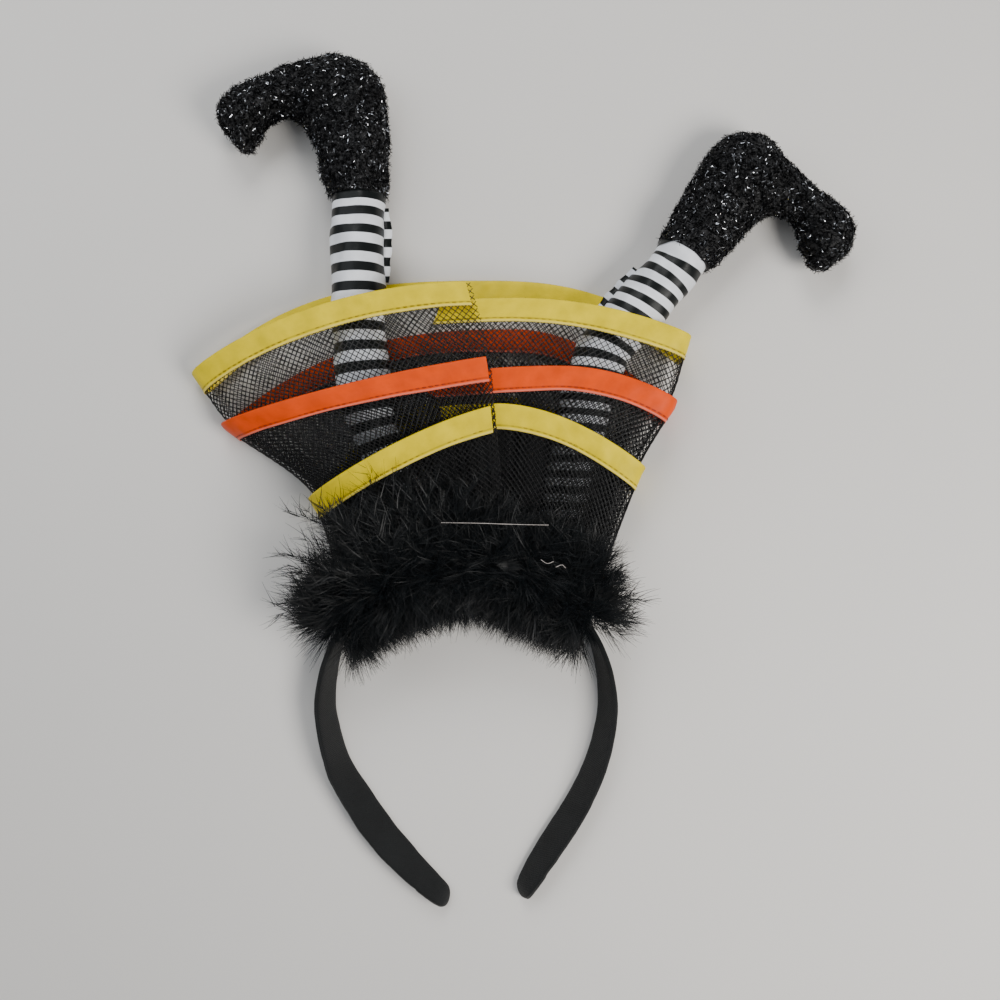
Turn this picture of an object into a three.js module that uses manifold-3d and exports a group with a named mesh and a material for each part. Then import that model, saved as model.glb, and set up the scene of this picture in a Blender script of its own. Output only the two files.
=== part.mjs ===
// A witch-leg headband, lying flat on its back as it would on a table.
// Millimetres. X runs across the band, Y from the arms' tips to the boots, Z up off the table.
// A hair band stands on its edge and carries three stacked nets, rolled into one open skirt.
// Two stuffed legs in boots come out of the skirt, and a feather trim hides its base.

import * as THREE from "three";
import { mergeVertices } from "three/addons/utils/BufferGeometryUtils.js";
import Module from "manifold-3d";

const wasm = await Module();
wasm.setup();

// Driving sizes

const clearance = 0.3; // between any two pieces that touch

const band = {
  radius: 65.5, // outside of the crown, which is a half circle
  width: 14,
  thickness: 2.8,
  armLength: 88, // from the crown's widest place down to the tips
  edgeRound: 0.9,
  tipRound: 4.5,
};

const skirt = {
  width: 214, // corner to corner of the tallest rim
  height: 121, // crown to the tallest rim
  netWall: 1,
  layerPitch: 2, // from one net to the next at a rim
  basePitch: 1.5, // the same at the base, where they are sewn together
  foldHeight: 6.5, // where the side folds lie above the table
  hemHeight: 10.5,
  hemWall: 1.8,
  hemEndShort: 2.6, // how far a ribbon stops short of its net's end
};

const leg = {
  length: 165,
  diameter: 23.6,
  flapWidth: 2.6, // seam allowance that stands out of the leg's side
  flapWall: 1,
};

const boot = {
  length: 73.5,
  height: 60.5,
  thickness: 26.5,
  axisHeight: 12.5, // half its thickness less what it flattens on the table
};

const trim = {
  coreRadius: 7,
  reach: 35, // longest lock, from the crown
  lockWidth: 11,
  lockThickness: 5.5,
  places: 19, // along the crown, each with its own tuft of locks
};

// Colours and finishes

const finish = {
  bandCloth: { color: 0x24292b, roughness: 0.85, metalness: 0 },
  net: { color: 0x151617, roughness: 0.7, metalness: 0 },
  yellowSatin: { color: 0xf2d60f, roughness: 0.45, metalness: 0 },
  orangeSatin: { color: 0xf2641e, roughness: 0.45, metalness: 0 },
  stripedSatin: { color: 0xd8dade, roughness: 0.4, metalness: 0 },
  tinsel: { color: 0x18191b, roughness: 0.35, metalness: 0.3 },
  feather: { color: 0x0b0d0e, roughness: 0.9, metalness: 0 },
};

// Plain mesh making

function geometryOf(points, triangles) {
  const geometry = new THREE.BufferGeometry();
  geometry.setAttribute(
    "position",
    new THREE.Float32BufferAttribute(points.flatMap((p) => [p.x, p.y, p.z]), 3),
  );
  geometry.setIndex(triangles.flat());
  return geometry;
}

function signedVolume(points, triangles) {
  let sum = 0;
  for (const [a, b, c] of triangles) {
    sum += points[a].dot(new THREE.Vector3().crossVectors(points[b], points[c]));
  }
  return sum / 6;
}

function outward(points, triangles) {
  const flip = signedVolume(points, triangles) < 0;
  return geometryOf(points, flip ? triangles.map(([a, b, c]) => [a, c, b]) : triangles);
}

// Joins rings of equal count into a closed body with a fan over each end.
function loft(rings) {
  const count = rings[0].length;
  const points = rings.flat().map((p) => p.clone());
  const triangles = [];
  for (let r = 0; r + 1 < rings.length; r++) {
    for (let i = 0; i < count; i++) {
      const a = r * count + i;
      const b = r * count + ((i + 1) % count);
      triangles.push([a, b, b + count], [a, b + count, a + count]);
    }
  }
  for (const [first, turn] of [[0, true], [(rings.length - 1) * count, false]]) {
    const middle = new THREE.Vector3();
    for (let i = 0; i < count; i++) middle.addScaledVector(points[first + i], 1 / count);
    const centre = points.push(middle) - 1;
    for (let i = 0; i < count; i++) {
      const a = first + i;
      const b = first + ((i + 1) % count);
      triangles.push(turn ? [b, a, centre] : [a, b, centre]);
    }
  }
  return outward(points, triangles);
}

// Thickens an open grid of points to both sides into a closed wall.
function wall(grid, thickness) {
  const rows = grid.length;
  const columns = grid[0].length;
  const at = (r, c) =>
    grid[THREE.MathUtils.clamp(r, 0, rows - 1)][THREE.MathUtils.clamp(c, 0, columns - 1)];
  const faces = [[], []];
  for (let r = 0; r < rows; r++) {
    for (let c = 0; c < columns; c++) {
      const alongRow = new THREE.Vector3().subVectors(at(r, c + 1), at(r, c - 1));
      const alongColumn = new THREE.Vector3().subVectors(at(r + 1, c), at(r - 1, c));
      const normal = alongRow.cross(alongColumn).normalize();
      faces[0].push(at(r, c).clone().addScaledVector(normal, thickness / 2));
      faces[1].push(at(r, c).clone().addScaledVector(normal, -thickness / 2));
    }
  }
  const points = faces.flat();
  const top = (r, c) => r * columns + c;
  const under = (r, c) => rows * columns + top(r, c);
  const triangles = [];
  const quad = (a, b, c, d) => triangles.push([a, b, c], [a, c, d]);
  for (let r = 0; r + 1 < rows; r++) {
    for (let c = 0; c + 1 < columns; c++) {
      quad(top(r, c), top(r, c + 1), top(r + 1, c + 1), top(r + 1, c));
      quad(under(r, c), under(r + 1, c), under(r + 1, c + 1), under(r, c + 1));
    }
  }
  for (let c = 0; c + 1 < columns; c++) {
    quad(top(0, c + 1), top(0, c), under(0, c), under(0, c + 1));
    quad(top(rows - 1, c), top(rows - 1, c + 1), under(rows - 1, c + 1), under(rows - 1, c));
  }
  for (let r = 0; r + 1 < rows; r++) {
    quad(top(r, 0), top(r + 1, 0), under(r + 1, 0), under(r, 0));
    quad(
      top(r + 1, columns - 1),
      top(r, columns - 1),
      under(r, columns - 1),
      under(r + 1, columns - 1),
    );
  }
  return outward(points, triangles);
}

// Fuses closed bodies that run into each other.
function fuse(geometries) {
  const solids = geometries.map((geometry) => {
    const plain = geometry.clone();
    plain.deleteAttribute("normal");
    plain.deleteAttribute("uv");
    const merged = mergeVertices(plain, 1e-4);
    return new wasm.Manifold(
      new wasm.Mesh({
        numProp: 3,
        vertProperties: new Float32Array(merged.attributes.position.array),
        triVerts: new Uint32Array(merged.index.array),
      }),
    );
  });
  const mesh = solids.reduce((whole, next) => whole.add(next)).getMesh();
  const geometry = new THREE.BufferGeometry();
  geometry.setAttribute("position", new THREE.Float32BufferAttribute(mesh.vertProperties, 3));
  geometry.setIndex([...mesh.triVerts]);
  return geometry;
}

function piece(name, geometry, look) {
  const mesh = new THREE.Mesh(geometry, new THREE.MeshStandardMaterial(look));
  mesh.name = name;
  return mesh;
}

const degrees = THREE.MathUtils.degToRad;
const lerp = THREE.MathUtils.lerp;

// Reads a table by its first column: numbers between two rows are mixed in proportion.
function readTable(table, key, value) {
  const last = table.length - 1;
  let i = 0;
  while (i < last - 1 && table[i + 1][key] < value) i++;
  const share = THREE.MathUtils.clamp(
    (value - table[i][key]) / (table[i + 1][key] - table[i][key]),
    0,
    1,
  );
  return Object.fromEntries(
    Object.keys(table[i]).map((k) => [k, lerp(table[i][k], table[i + 1][k], share)]),
  );
}

// Headband

// The crown's centre is the reference of every table: x right, y towards the boots.
const crown = (angle, radius) =>
  new THREE.Vector2(radius * Math.sin(angle), radius * Math.cos(angle));

// down: share of the arm's length. out: share of the crown's radius, to the outside edge.
// roll: how far the inner face turns up, in degrees. width: share of the band's width.
const arms = {
  left: [
    { down: 0.2, out: 0.96, roll: 32, width: 1 },
    { down: 0.34, out: 0.91, roll: 42, width: 1 },
    { down: 0.5, out: 0.8, roll: 55, width: 1 },
    { down: 0.65, out: 0.67, roll: 60, width: 1 },
    { down: 0.8, out: 0.49, roll: 60, width: 0.95 },
    { down: 0.92, out: 0.3, roll: 55, width: 0.8 },
    { down: 1, out: 0.15, roll: 50, width: 0.65 },
  ],
  right: [
    { down: 0.19, out: 0.965, roll: 30, width: 1 },
    { down: 0.35, out: 0.9, roll: 34, width: 1 },
    { down: 0.53, out: 0.785, roll: 38, width: 1 },
    { down: 0.7, out: 0.64, roll: 40, width: 0.98 },
    { down: 0.83, out: 0.52, roll: 40, width: 0.88 },
    { down: 0.96, out: 0.4, roll: 36, width: 0.68 },
  ],
};

// The crown stands upright where the skirt is sewn to it and starts to roll past the skirt.
const crownRoll = [
  { angle: 0, roll: 0 },
  { angle: 52, roll: 0 },
  { angle: 70, roll: 18 },
  { angle: 90, roll: 26 },
];

function bandStations() {
  const stations = [];
  const addArm = (side, rows) =>
    rows.map((row) => ({
      x: side * row.out * band.radius,
      y: -row.down * band.armLength,
      roll: row.roll,
      width: row.width,
    }));
  stations.push(...addArm(-1, arms.left).reverse());
  for (let angle = -90; angle <= 90; angle += 15) {
    const edge = crown(degrees(angle), band.radius);
    const roll = readTable(crownRoll, "angle", Math.abs(angle)).roll;
    stations.push({ x: edge.x, y: edge.y, roll, width: 1 });
  }
  stations.push(...addArm(1, arms.right));
  return stations;
}

function bandSection(middle, outwards, roll, width) {
  const across = outwards.clone().multiplyScalar(Math.sin(roll));
  across.z = Math.cos(roll);
  const through = outwards.clone().multiplyScalar(Math.cos(roll));
  through.z = -Math.sin(roll);
  const half = width / 2;
  const deep = band.thickness / 2;
  const cut = Math.min(band.edgeRound, half * 0.6);
  const corners = [
    [half, deep - cut],
    [half - cut, deep],
    [cut - half, deep],
    [-half, deep - cut],
    [-half, cut - deep],
    [cut - half, -deep],
    [half - cut, -deep],
    [half, cut - deep],
  ];
  return corners.map(([a, t]) =>
    middle.clone().addScaledVector(across, a).addScaledVector(through, t),
  );
}

function headband() {
  const stations = bandStations();
  const path = new THREE.CatmullRomCurve3(
    stations.map((s) => new THREE.Vector3(s.x, s.y, 0)),
    false,
    "centripetal",
  );
  const looks = new THREE.CatmullRomCurve3(
    stations.map((s) => new THREE.Vector3(s.roll, s.width * band.width, 0)),
    false,
    "catmullrom",
  );
  const steps = (stations.length - 1) * 2;
  const distances = path.getLengths(steps);
  const total = distances[steps];
  const rings = [];
  const tipSteps = [0.12, 0.45];
  const ringAt = (t, width) => {
    const edge = path.getPoint(t);
    const look = looks.getPoint(t);
    const roll = degrees(look.x);
    const along = path.getTangent(t);
    const outwards = new THREE.Vector3(-along.y, along.x, 0);
    const inset =
      (band.thickness * Math.cos(roll)) / 2 + (width * Math.sin(roll)) / 2;
    const middle = edge.clone().addScaledVector(outwards, -inset);
    middle.z = (width * Math.cos(roll) + band.thickness * Math.sin(roll)) / 2;
    return bandSection(middle, outwards, roll, width);
  };
  const rounded = (depth) => Math.sqrt(1 - (1 - depth) ** 2);
  for (const share of tipSteps) {
    const t = (share * band.tipRound) / total;
    rings.push(ringAt(t, looks.getPoint(t).y * rounded(share)));
  }
  for (let i = 0; i <= steps; i++) {
    const fromEnd = Math.min(distances[i], total - distances[i]);
    if (fromEnd > band.tipRound) rings.push(ringAt(i / steps, looks.getPoint(i / steps).y));
  }
  for (const share of [...tipSteps].reverse()) {
    const t = 1 - (share * band.tipRound) / total;
    rings.push(ringAt(t, looks.getPoint(t).y * rounded(share)));
  }
  return loft(rings);
}

// Skirt: three nets on one rolled surface, each cut off at its own height

// Columns are shares of the skirt's width for x and of its height for y, from the crown's top.
// spread: how many times wider apart the layers lie where the side runs out slantwise.
// The left stack lies over the right one at the front, between the two ends.
const rims = [
  {
    net: "net_tall",
    hem: "hem_tall",
    ribbon: finish.yellowSatin,
    left: { x: -0.554, y: 0.658, spread: 1.6 },
    right: { x: 0.443, y: 0.775, spread: 1.1 },
    leftTop: { x: 0.02, y: 0.944, bend: 2 },
    leftEnd: { x: 0.012, y: 0.944 },
    rightTop: { x: 0.105, y: 0.892, bend: 2 },
    rightEnd: { x: -0.05, y: 0.88 },
    backTop: { x: 0.044, y: 1, bendLeft: 3, bendRight: 2.5 },
    frontHeight: 30,
  },
  {
    net: "net_middle",
    hem: "hem_middle",
    ribbon: finish.orangeSatin,
    left: { x: -0.495, y: 0.476, spread: 1.6 },
    right: { x: 0.415, y: 0.55, spread: 1.15 },
    leftTop: { x: 0.114, y: 0.7, bend: 1.3 },
    leftEnd: { x: 0.049, y: 0.69 },
    rightTop: { x: 0.185, y: 0.66, bend: 2 },
    rightEnd: { x: -0.095, y: 0.617 },
    backTop: { x: 0.105, y: 0.824, bendLeft: 2.7, bendRight: 1.8 },
    frontHeight: 30,
  },
  {
    net: "net_short",
    hem: "hem_short",
    ribbon: finish.yellowSatin,
    left: { x: -0.318, y: 0.212, spread: 1.45 },
    right: { x: 0.352, y: 0.318, spread: 1.15 },
    leftTop: { x: 0.091, y: 0.531, bend: 1.4 },
    leftEnd: { x: 0.058, y: 0.527 },
    rightTop: { x: 0.068, y: 0.531, bend: 1.8 },
    rightEnd: { x: -0.054, y: 0.518 },
    backTop: { x: 0.03, y: 0.584, bendLeft: 2.2, bendRight: 2.2 },
    frontHeight: 28.4,
  },
];

// Angles along the crown, in degrees, and heights off the table, in shares of the band's width.
const base = {
  left: -52,
  right: 52,
  spread: 1.2,
  leftEnd: 16,
  rightEnd: -10,
  frontHeight: 0.68,
  backHeight: 0.036,
};

// Where the roll passes the right fold and the left fold, as shares of its whole length.
const foldAt = { right: 0.24, left: 0.72 };
const sideRound = { left: 0.9, right: 0.2, back: 0.3 };
const wrapRun = 0.7; // share of the left front over which the stack climbs on its other end

// Splits a place along the roll into its stretch and the turn about the skirt's middle.
function turnAt(along, leftEnd, rightEnd) {
  if (along < foldAt.right) {
    const turn = lerp(rightEnd, 0, along / foldAt.right);
    return { stretch: "right", turn, climb: 0 };
  }
  if (along < foldAt.left) {
    const share = (along - foldAt.right) / (foldAt.left - foldAt.right);
    return { stretch: "back", turn: share * Math.PI, climb: 0 };
  }
  const share = (along - foldAt.left) / (1 - foldAt.left);
  const climb = THREE.MathUtils.smoothstep(share, 0, wrapRun);
  return { stretch: "left", turn: lerp(Math.PI, leftEnd, share), climb };
}

function rise(turn, stretch, fold, level) {
  const side = stretch === "back" ? sideRound.back
    : lerp(sideRound.left, sideRound.right, (Math.cos(turn) + 1) / 2);
  return lerp(fold, level, Math.sin(turn) ** side);
}

// Height of an arch at x, falling from its top to a corner or to an end.
function arch(x, top, corner, bend, end) {
  const past = (x - top.x) / (corner.x - top.x);
  if (past >= 0) return top.y - (top.y - corner.y) * past ** bend;
  const back = (x - top.x) / (end.x - top.x);
  return top.y - (top.y - end.y) * back ** 2;
}

function rimPoint(level, layer, along) {
  const row = rims[level];
  const inset = ((level - layer) * skirt.layerPitch) / skirt.width;
  const left = row.left.x + inset * row.left.spread;
  const right = row.right.x - inset * row.right.spread;
  const middle = (left + right) / 2;
  const half = (right - left) / 2;
  const endTurn = (end) => Math.acos((end.x - middle) / half);
  const { stretch, turn, climb } = turnAt(along, endTurn(row.leftEnd), endTurn(row.rightEnd));
  const x = middle + half * Math.cos(turn);
  let y;
  if (stretch === "right") {
    y = arch(x, row.rightTop, { x: right, y: row.right.y }, row.rightTop.bend, row.rightEnd);
  } else if (stretch === "left") {
    y = arch(x, row.leftTop, { x: left, y: row.left.y }, row.leftTop.bend, row.leftEnd);
  } else {
    const top = row.backTop;
    const isLeft = x < top.x;
    const corner = isLeft ? { x: left, y: row.left.y } : { x: right, y: row.right.y };
    y = arch(x, top, corner, isLeft ? top.bendLeft : top.bendRight, corner);
  }
  const front = row.frontHeight + layer * skirt.layerPitch;
  const lowest = skirt.hemWall / 2 + (level - layer) * skirt.layerPitch;
  const z =
    rise(turn, stretch, skirt.foldHeight, stretch === "back" ? lowest : front) +
    climb * (level + 1) * skirt.layerPitch;
  return new THREE.Vector3(x * skirt.width, band.radius + y * skirt.height, z);
}

function basePoint(layer, along) {
  const outermost = rims.length - 1;
  const seat = band.radius + clearance * 2;
  const inset = THREE.MathUtils.radToDeg(((outermost - layer) * skirt.basePitch) / seat);
  const left = base.left + inset * base.spread;
  const right = base.right - inset * base.spread;
  const middle = (left + right) / 2;
  const half = (right - left) / 2;
  const endTurn = (angle) => Math.acos((angle - middle) / half);
  const { stretch, turn, climb } = turnAt(along, endTurn(base.leftEnd), endTurn(base.rightEnd));
  const place = crown(degrees(middle + half * Math.cos(turn)), seat);
  const front = base.frontHeight * band.width + layer * skirt.basePitch;
  const lowest = base.backHeight * band.width + (outermost - layer) * skirt.basePitch;
  const z =
    rise(turn, stretch, skirt.foldHeight, stretch === "back" ? lowest : front) +
    climb * rims.length * skirt.basePitch;
  return new THREE.Vector3(place.x, place.y, z);
}

// One upright thread of a layer, from the base to its own rim. All layers follow one line
// through all the rims' levels, so that they stay parallel, and each is cut at its own level.
function upright(layer, along) {
  const levels = [basePoint(layer, along)];
  for (let level = rims.length - 1; level >= 0; level--) {
    levels.push(rimPoint(level, layer, along));
  }
  const whole = new THREE.CatmullRomCurve3(levels, false, "centripetal");
  const own = (rims.length - layer) / rims.length;
  const samples = [];
  for (let i = 0; i <= threadSamples; i++) samples.push(whole.getPoint((own * i) / threadSamples));
  return new THREE.CatmullRomCurve3(samples, false, "centripetal");
}

const acrossSteps = 46;
const threadSamples = 16;

function skirtGrid(layer, rows, from, to, endShort) {
  const stations = [];
  for (let c = 0; c <= acrossSteps; c++) {
    const along = THREE.MathUtils.clamp(c / acrossSteps, endShort, 1 - endShort);
    stations.push(upright(layer, along));
  }
  const grid = [];
  for (let r = 0; r <= rows; r++) {
    grid.push(
      stations.map((curve) => {
        const length = curve.getLength();
        return curve.getPointAt(lerp(from(length), to(length), r / rows));
      }),
    );
  }
  return grid;
}

function net(layer) {
  const rows = 2 * (rims.length - layer) + 1;
  const top = (length) => 1 - (skirt.hemHeight + clearance) / length;
  return wall(skirtGrid(layer, rows, () => 0, top, 0), skirt.netWall);
}

function hem(layer) {
  const bottom = (length) => 1 - skirt.hemHeight / length;
  const short = skirt.hemEndShort / (2 * skirt.width);
  return wall(skirtGrid(layer, 1, bottom, () => 1, short), skirt.hemWall);
}

// Legs: stuffed stockings, flat where they are sewn to the band and round above

// x and y: shares of the leg's length, from the crown's top.
const legRoutes = {
  left: [
    { x: -0.097, y: -0.008 },
    { x: -0.11, y: 0.045 },
    { x: -0.165, y: 0.16 },
    { x: -0.235, y: 0.32 },
    { x: -0.265, y: 0.47 },
    { x: -0.277, y: 0.64 },
    { x: -0.279, y: 0.8 },
    { x: -0.279, y: 0.935 },
  ],
  right: [
    { x: 0.184, y: -0.041 },
    { x: 0.208, y: 0.007 },
    { x: 0.235, y: 0.08 },
    { x: 0.262, y: 0.19 },
    { x: 0.285, y: 0.3 },
    { x: 0.315, y: 0.42 },
    { x: 0.352, y: 0.53 },
    { x: 0.43, y: 0.625 },
    { x: 0.505, y: 0.714 },
    { x: 0.54, y: 0.748 },
    { x: 0.565, y: 0.785 },
  ],
};

// at: share of the way from the band to the boot. The rest: shares of the leg's diameter.
const legSections = [
  { at: 0, wide: 0.76, thick: 0.18, high: 0.285 },
  { at: 0.1, wide: 0.77, thick: 0.31, high: 0.38 },
  { at: 0.2, wide: 0.79, thick: 0.46, high: 0.485 },
  { at: 0.3, wide: 0.82, thick: 0.63, high: 0.575 },
  { at: 0.4, wide: 0.88, thick: 0.8, high: 0.67 },
  { at: 0.52, wide: 1, thick: 0.92, high: 0.675 },
  { at: 0.66, wide: 1, thick: 0.96, high: 0.65 },
  { at: 0.82, wide: 1, thick: 0.99, high: 0.605 },
  { at: 1, wide: 1, thick: 1, high: 0.53 },
];

// side: which way the seam allowance stands out. from, to: shares of the way to the boot.
const flaps = {
  left: { side: 1, from: 0.77, to: 0.97 },
  right: { side: -1, from: 0.66, to: 0.88 },
};

function legCurve(name) {
  const seat = band.radius;
  return new THREE.CatmullRomCurve3(
    legRoutes[name].map(
      (row) => new THREE.Vector3(row.x * leg.length, seat + row.y * leg.length, 0),
    ),
    false,
    "centripetal",
  );
}

function legPlace(curve, at) {
  const row = readTable(legSections, "at", at);
  const middle = curve.getPointAt(at);
  middle.z = row.high * leg.diameter;
  const along = curve.getTangentAt(at);
  const across = new THREE.Vector3(along.y, -along.x, 0);
  return {
    middle,
    across,
    wide: (row.wide * leg.diameter) / 2,
    thick: (row.thick * leg.diameter) / 2,
  };
}

function stocking(name) {
  const curve = legCurve(name);
  const sides = 16;
  const steps = 22;
  const rings = [];
  for (let i = 0; i <= steps; i++) {
    const { middle, across, wide, thick } = legPlace(curve, i / steps);
    const ring = [];
    for (let s = 0; s < sides; s++) {
      const turn = (s / sides) * 2 * Math.PI;
      const p = middle.clone().addScaledVector(across, Math.cos(turn) * wide);
      p.z += Math.sin(turn) * thick;
      ring.push(p);
    }
    rings.push(ring);
  }
  return fuse([loft(rings), seamFlap(curve, flaps[name])]);
}

// A thin strip that starts inside the leg and tapers out at both ends.
function seamFlap(curve, flap) {
  const rings = [];
  const steps = 6;
  for (let i = 0; i <= steps; i++) {
    const { middle, across, wide } = legPlace(curve, lerp(flap.from, flap.to, i / steps));
    const proud = leg.flapWidth * Math.sin((Math.PI * (i + 0.5)) / (steps + 1)) ** 0.5;
    const inner = middle.clone().addScaledVector(across, flap.side * (wide - leg.flapWidth));
    const outer = middle.clone().addScaledVector(across, flap.side * (wide + proud));
    const ring = [inner, outer, outer.clone(), inner.clone()];
    ring[0].z -= leg.flapWall / 2;
    ring[1].z -= leg.flapWall / 2;
    ring[2].z += leg.flapWall / 2;
    ring[3].z += leg.flapWall / 2;
    rings.push(ring);
  }
  return loft(rings);
}

// Boots: each row joins a point of the instep side to a point of the heel and sole side.
// x: share of the boot's length towards the toe. y: share of its height towards the sole.
// thick: share of its thickness.
const bootRows = {
  left: [
    { inX: 0.18, inY: 0, outX: -0.18, outY: 0, thick: 0.9 },
    { inX: 0.215, inY: 0.13, outX: -0.18, outY: 0.16, thick: 0.96 },
    { inX: 0.25, inY: 0.32, outX: -0.18, outY: 0.38, thick: 1 },
    { inX: 0.315, inY: 0.47, outX: -0.17, outY: 0.62, thick: 1 },
    { inX: 0.36, inY: 0.53, outX: -0.14, outY: 0.8, thick: 1 },
    { inX: 0.4, inY: 0.555, outX: -0.05, outY: 0.93, thick: 1 },
    { inX: 0.43, inY: 0.56, outX: 0.1, outY: 0.99, thick: 0.98 },
    { inX: 0.45, inY: 0.555, outX: 0.25, outY: 0.97, thick: 0.94 },
    { inX: 0.48, inY: 0.54, outX: 0.4, outY: 0.92, thick: 0.9 },
    { inX: 0.505, inY: 0.515, outX: 0.54, outY: 0.86, thick: 0.88 },
    { inX: 0.53, inY: 0.48, outX: 0.69, outY: 0.78, thick: 0.88 },
    { inX: 0.55, inY: 0.44, outX: 0.81, outY: 0.66, thick: 0.86 },
    { inX: 0.57, inY: 0.4, outX: 0.81, outY: 0.52, thick: 0.72 },
    { inX: 0.61, inY: 0.355, outX: 0.745, outY: 0.41, thick: 0.45 },
  ],
  right: [
    { inX: 0.18, inY: 0, outX: -0.18, outY: 0, thick: 0.9 },
    { inX: 0.205, inY: 0.13, outX: -0.19, outY: 0.16, thick: 0.96 },
    { inX: 0.23, inY: 0.32, outX: -0.205, outY: 0.39, thick: 1 },
    { inX: 0.245, inY: 0.45, outX: -0.22, outY: 0.63, thick: 1 },
    { inX: 0.27, inY: 0.52, outX: -0.2, outY: 0.81, thick: 1 },
    { inX: 0.3, inY: 0.565, outX: -0.13, outY: 0.94, thick: 1 },
    { inX: 0.33, inY: 0.59, outX: 0, outY: 1, thick: 0.98 },
    { inX: 0.36, inY: 0.61, outX: 0.14, outY: 0.96, thick: 0.94 },
    { inX: 0.39, inY: 0.625, outX: 0.28, outY: 0.925, thick: 0.9 },
    { inX: 0.42, inY: 0.625, outX: 0.42, outY: 0.9, thick: 0.88 },
    { inX: 0.455, inY: 0.6, outX: 0.58, outY: 0.895, thick: 0.88 },
    { inX: 0.49, inY: 0.55, outX: 0.73, outY: 0.84, thick: 0.88 },
    { inX: 0.53, inY: 0.495, outX: 0.79, outY: 0.68, thick: 0.78 },
    { inX: 0.6, inY: 0.47, outX: 0.755, outY: 0.53, thick: 0.5 },
  ],
};

// side: where the toe points, seen from above, once the shaft stands along the leg.
const bootSides = { left: -1, right: 1 };

function bootGeometry(name) {
  const curve = legCurve(name);
  const along = curve.getTangentAt(1);
  const toe = new THREE.Vector3(along.y, -along.x, 0).multiplyScalar(bootSides[name]);
  const cuff = curve.getPointAt(1).addScaledVector(along, clearance);
  const place = (x, y) =>
    cuff.clone().addScaledVector(toe, x * boot.length).addScaledVector(along, y * boot.height);
  const rows = bootRows[name];
  const smooth = (pick) => new THREE.CatmullRomCurve3(rows.map(pick), false, "centripetal");
  const inner = smooth((row) => place(row.inX, row.inY));
  const outer = smooth((row) => place(row.outX, row.outY));
  const sides = 14;
  const steps = (rows.length - 1) * 2;
  const rings = [];
  for (let i = 0; i <= steps; i++) {
    const a = inner.getPoint(i / steps);
    const b = outer.getPoint(i / steps);
    const row = Math.min(Math.floor(i / 2), rows.length - 2);
    const thick = lerp(rows[row].thick, rows[row + 1].thick, i / 2 - row) * boot.thickness;
    const middle = a.clone().add(b).multiplyScalar(0.5);
    const half = b.clone().sub(a).multiplyScalar(0.5);
    const ring = [];
    for (let s = 0; s < sides; s++) {
      const turn = (s / sides) * 2 * Math.PI;
      const p = middle.clone().addScaledVector(half, Math.cos(turn));
      p.z = Math.max(0, boot.axisHeight + (Math.sin(turn) * thick) / 2);
      ring.push(p);
    }
    rings.push(ring);
  }
  return loft(rings);
}

// Feather trim: a core along the crown with locks fused to it

// at: angle along the crown. out, down: reach of the locks away from the head's side and
// towards it, as shares of the trim's reach. high: how far the core rests above the band.
const trimRows = [
  { at: -61, out: 0.7, down: 0.3, high: 0 },
  { at: -50, out: 0.85, down: 0.35, high: 0.8 },
  { at: -38, out: 0.92, down: 0.55, high: 2.4 },
  { at: -22, out: 1, down: 0.6, high: 4 },
  { at: -10, out: 0.8, down: 0.62, high: 4.2 },
  { at: 0, out: 0.7, down: 0.62, high: 4.2 },
  { at: 23, out: 0.65, down: 0.6, high: 3.6 },
  { at: 40, out: 0.85, down: 0.5, high: 1.8 },
  { at: 50, out: 0.75, down: 0.35, high: 0.6 },
  { at: 58, out: 0.55, down: 0.3, high: 0 },
];

function trimPlace(at) {
  const row = readTable(trimRows, "at", at);
  const angle = degrees(at);
  const outwards = new THREE.Vector3(Math.sin(angle), Math.cos(angle), 0);
  const roll = degrees(readTable(crownRoll, "angle", Math.abs(at)).roll);
  const bandTop = band.width * Math.cos(roll) + band.thickness * Math.sin(roll);
  const lean = (band.width * Math.sin(roll)) / 2;
  const middle = outwards.clone().multiplyScalar(band.radius - band.thickness / 2 - lean / 2);
  middle.z = bandTop + clearance + trim.coreRadius + row.high;
  return { middle, outwards, row };
}

function trimCore() {
  const rings = [];
  const steps = 20;
  const first = trimRows[0].at;
  const last = trimRows[trimRows.length - 1].at;
  for (let i = 0; i <= steps; i++) {
    const { middle, outwards } = trimPlace(lerp(first, last, i / steps));
    const ring = [];
    for (let s = 0; s < 8; s++) {
      const turn = ((s + 0.5) / 8) * 2 * Math.PI;
      const p = middle.clone().addScaledVector(outwards, Math.cos(turn) * trim.coreRadius);
      p.z += Math.sin(turn) * trim.coreRadius;
      ring.push(p);
    }
    rings.push(ring);
  }
  return loft(rings);
}

// One lock: a flat tapering tongue from the core, rising first and then drooping.
function lock(at, outShare, lift, droop, skew) {
  const { middle, outwards } = trimPlace(at);
  const sideways = new THREE.Vector3(-outwards.y, outwards.x, 0);
  const heading = outwards.clone().multiplyScalar(Math.sign(outShare));
  heading.addScaledVector(sideways, skew).normalize();
  const across = new THREE.Vector3(-heading.y, heading.x, 0);
  const reach = Math.abs(outShare) * trim.reach;
  const shape = [
    { run: 0.04, wide: 0.7 },
    { run: 0.35, wide: 1 },
    { run: 0.7, wide: 0.8 },
    { run: 1, wide: 0.2 },
  ];
  const rings = shape.map(({ run, wide }) => {
    const p = middle.clone().addScaledVector(heading, run * reach);
    p.z += lift * run * reach - droop * run * run * reach;
    const half = (wide * trim.lockWidth) / 2;
    const deep = (wide * trim.lockThickness) / 2;
    const ring = [p.clone(), p.clone(), p.clone(), p.clone()];
    ring[0].addScaledVector(across, half);
    ring[1].z += deep;
    ring[2].addScaledVector(across, -half);
    ring[3].z -= deep;
    return ring;
  });
  return loft(rings);
}

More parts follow.
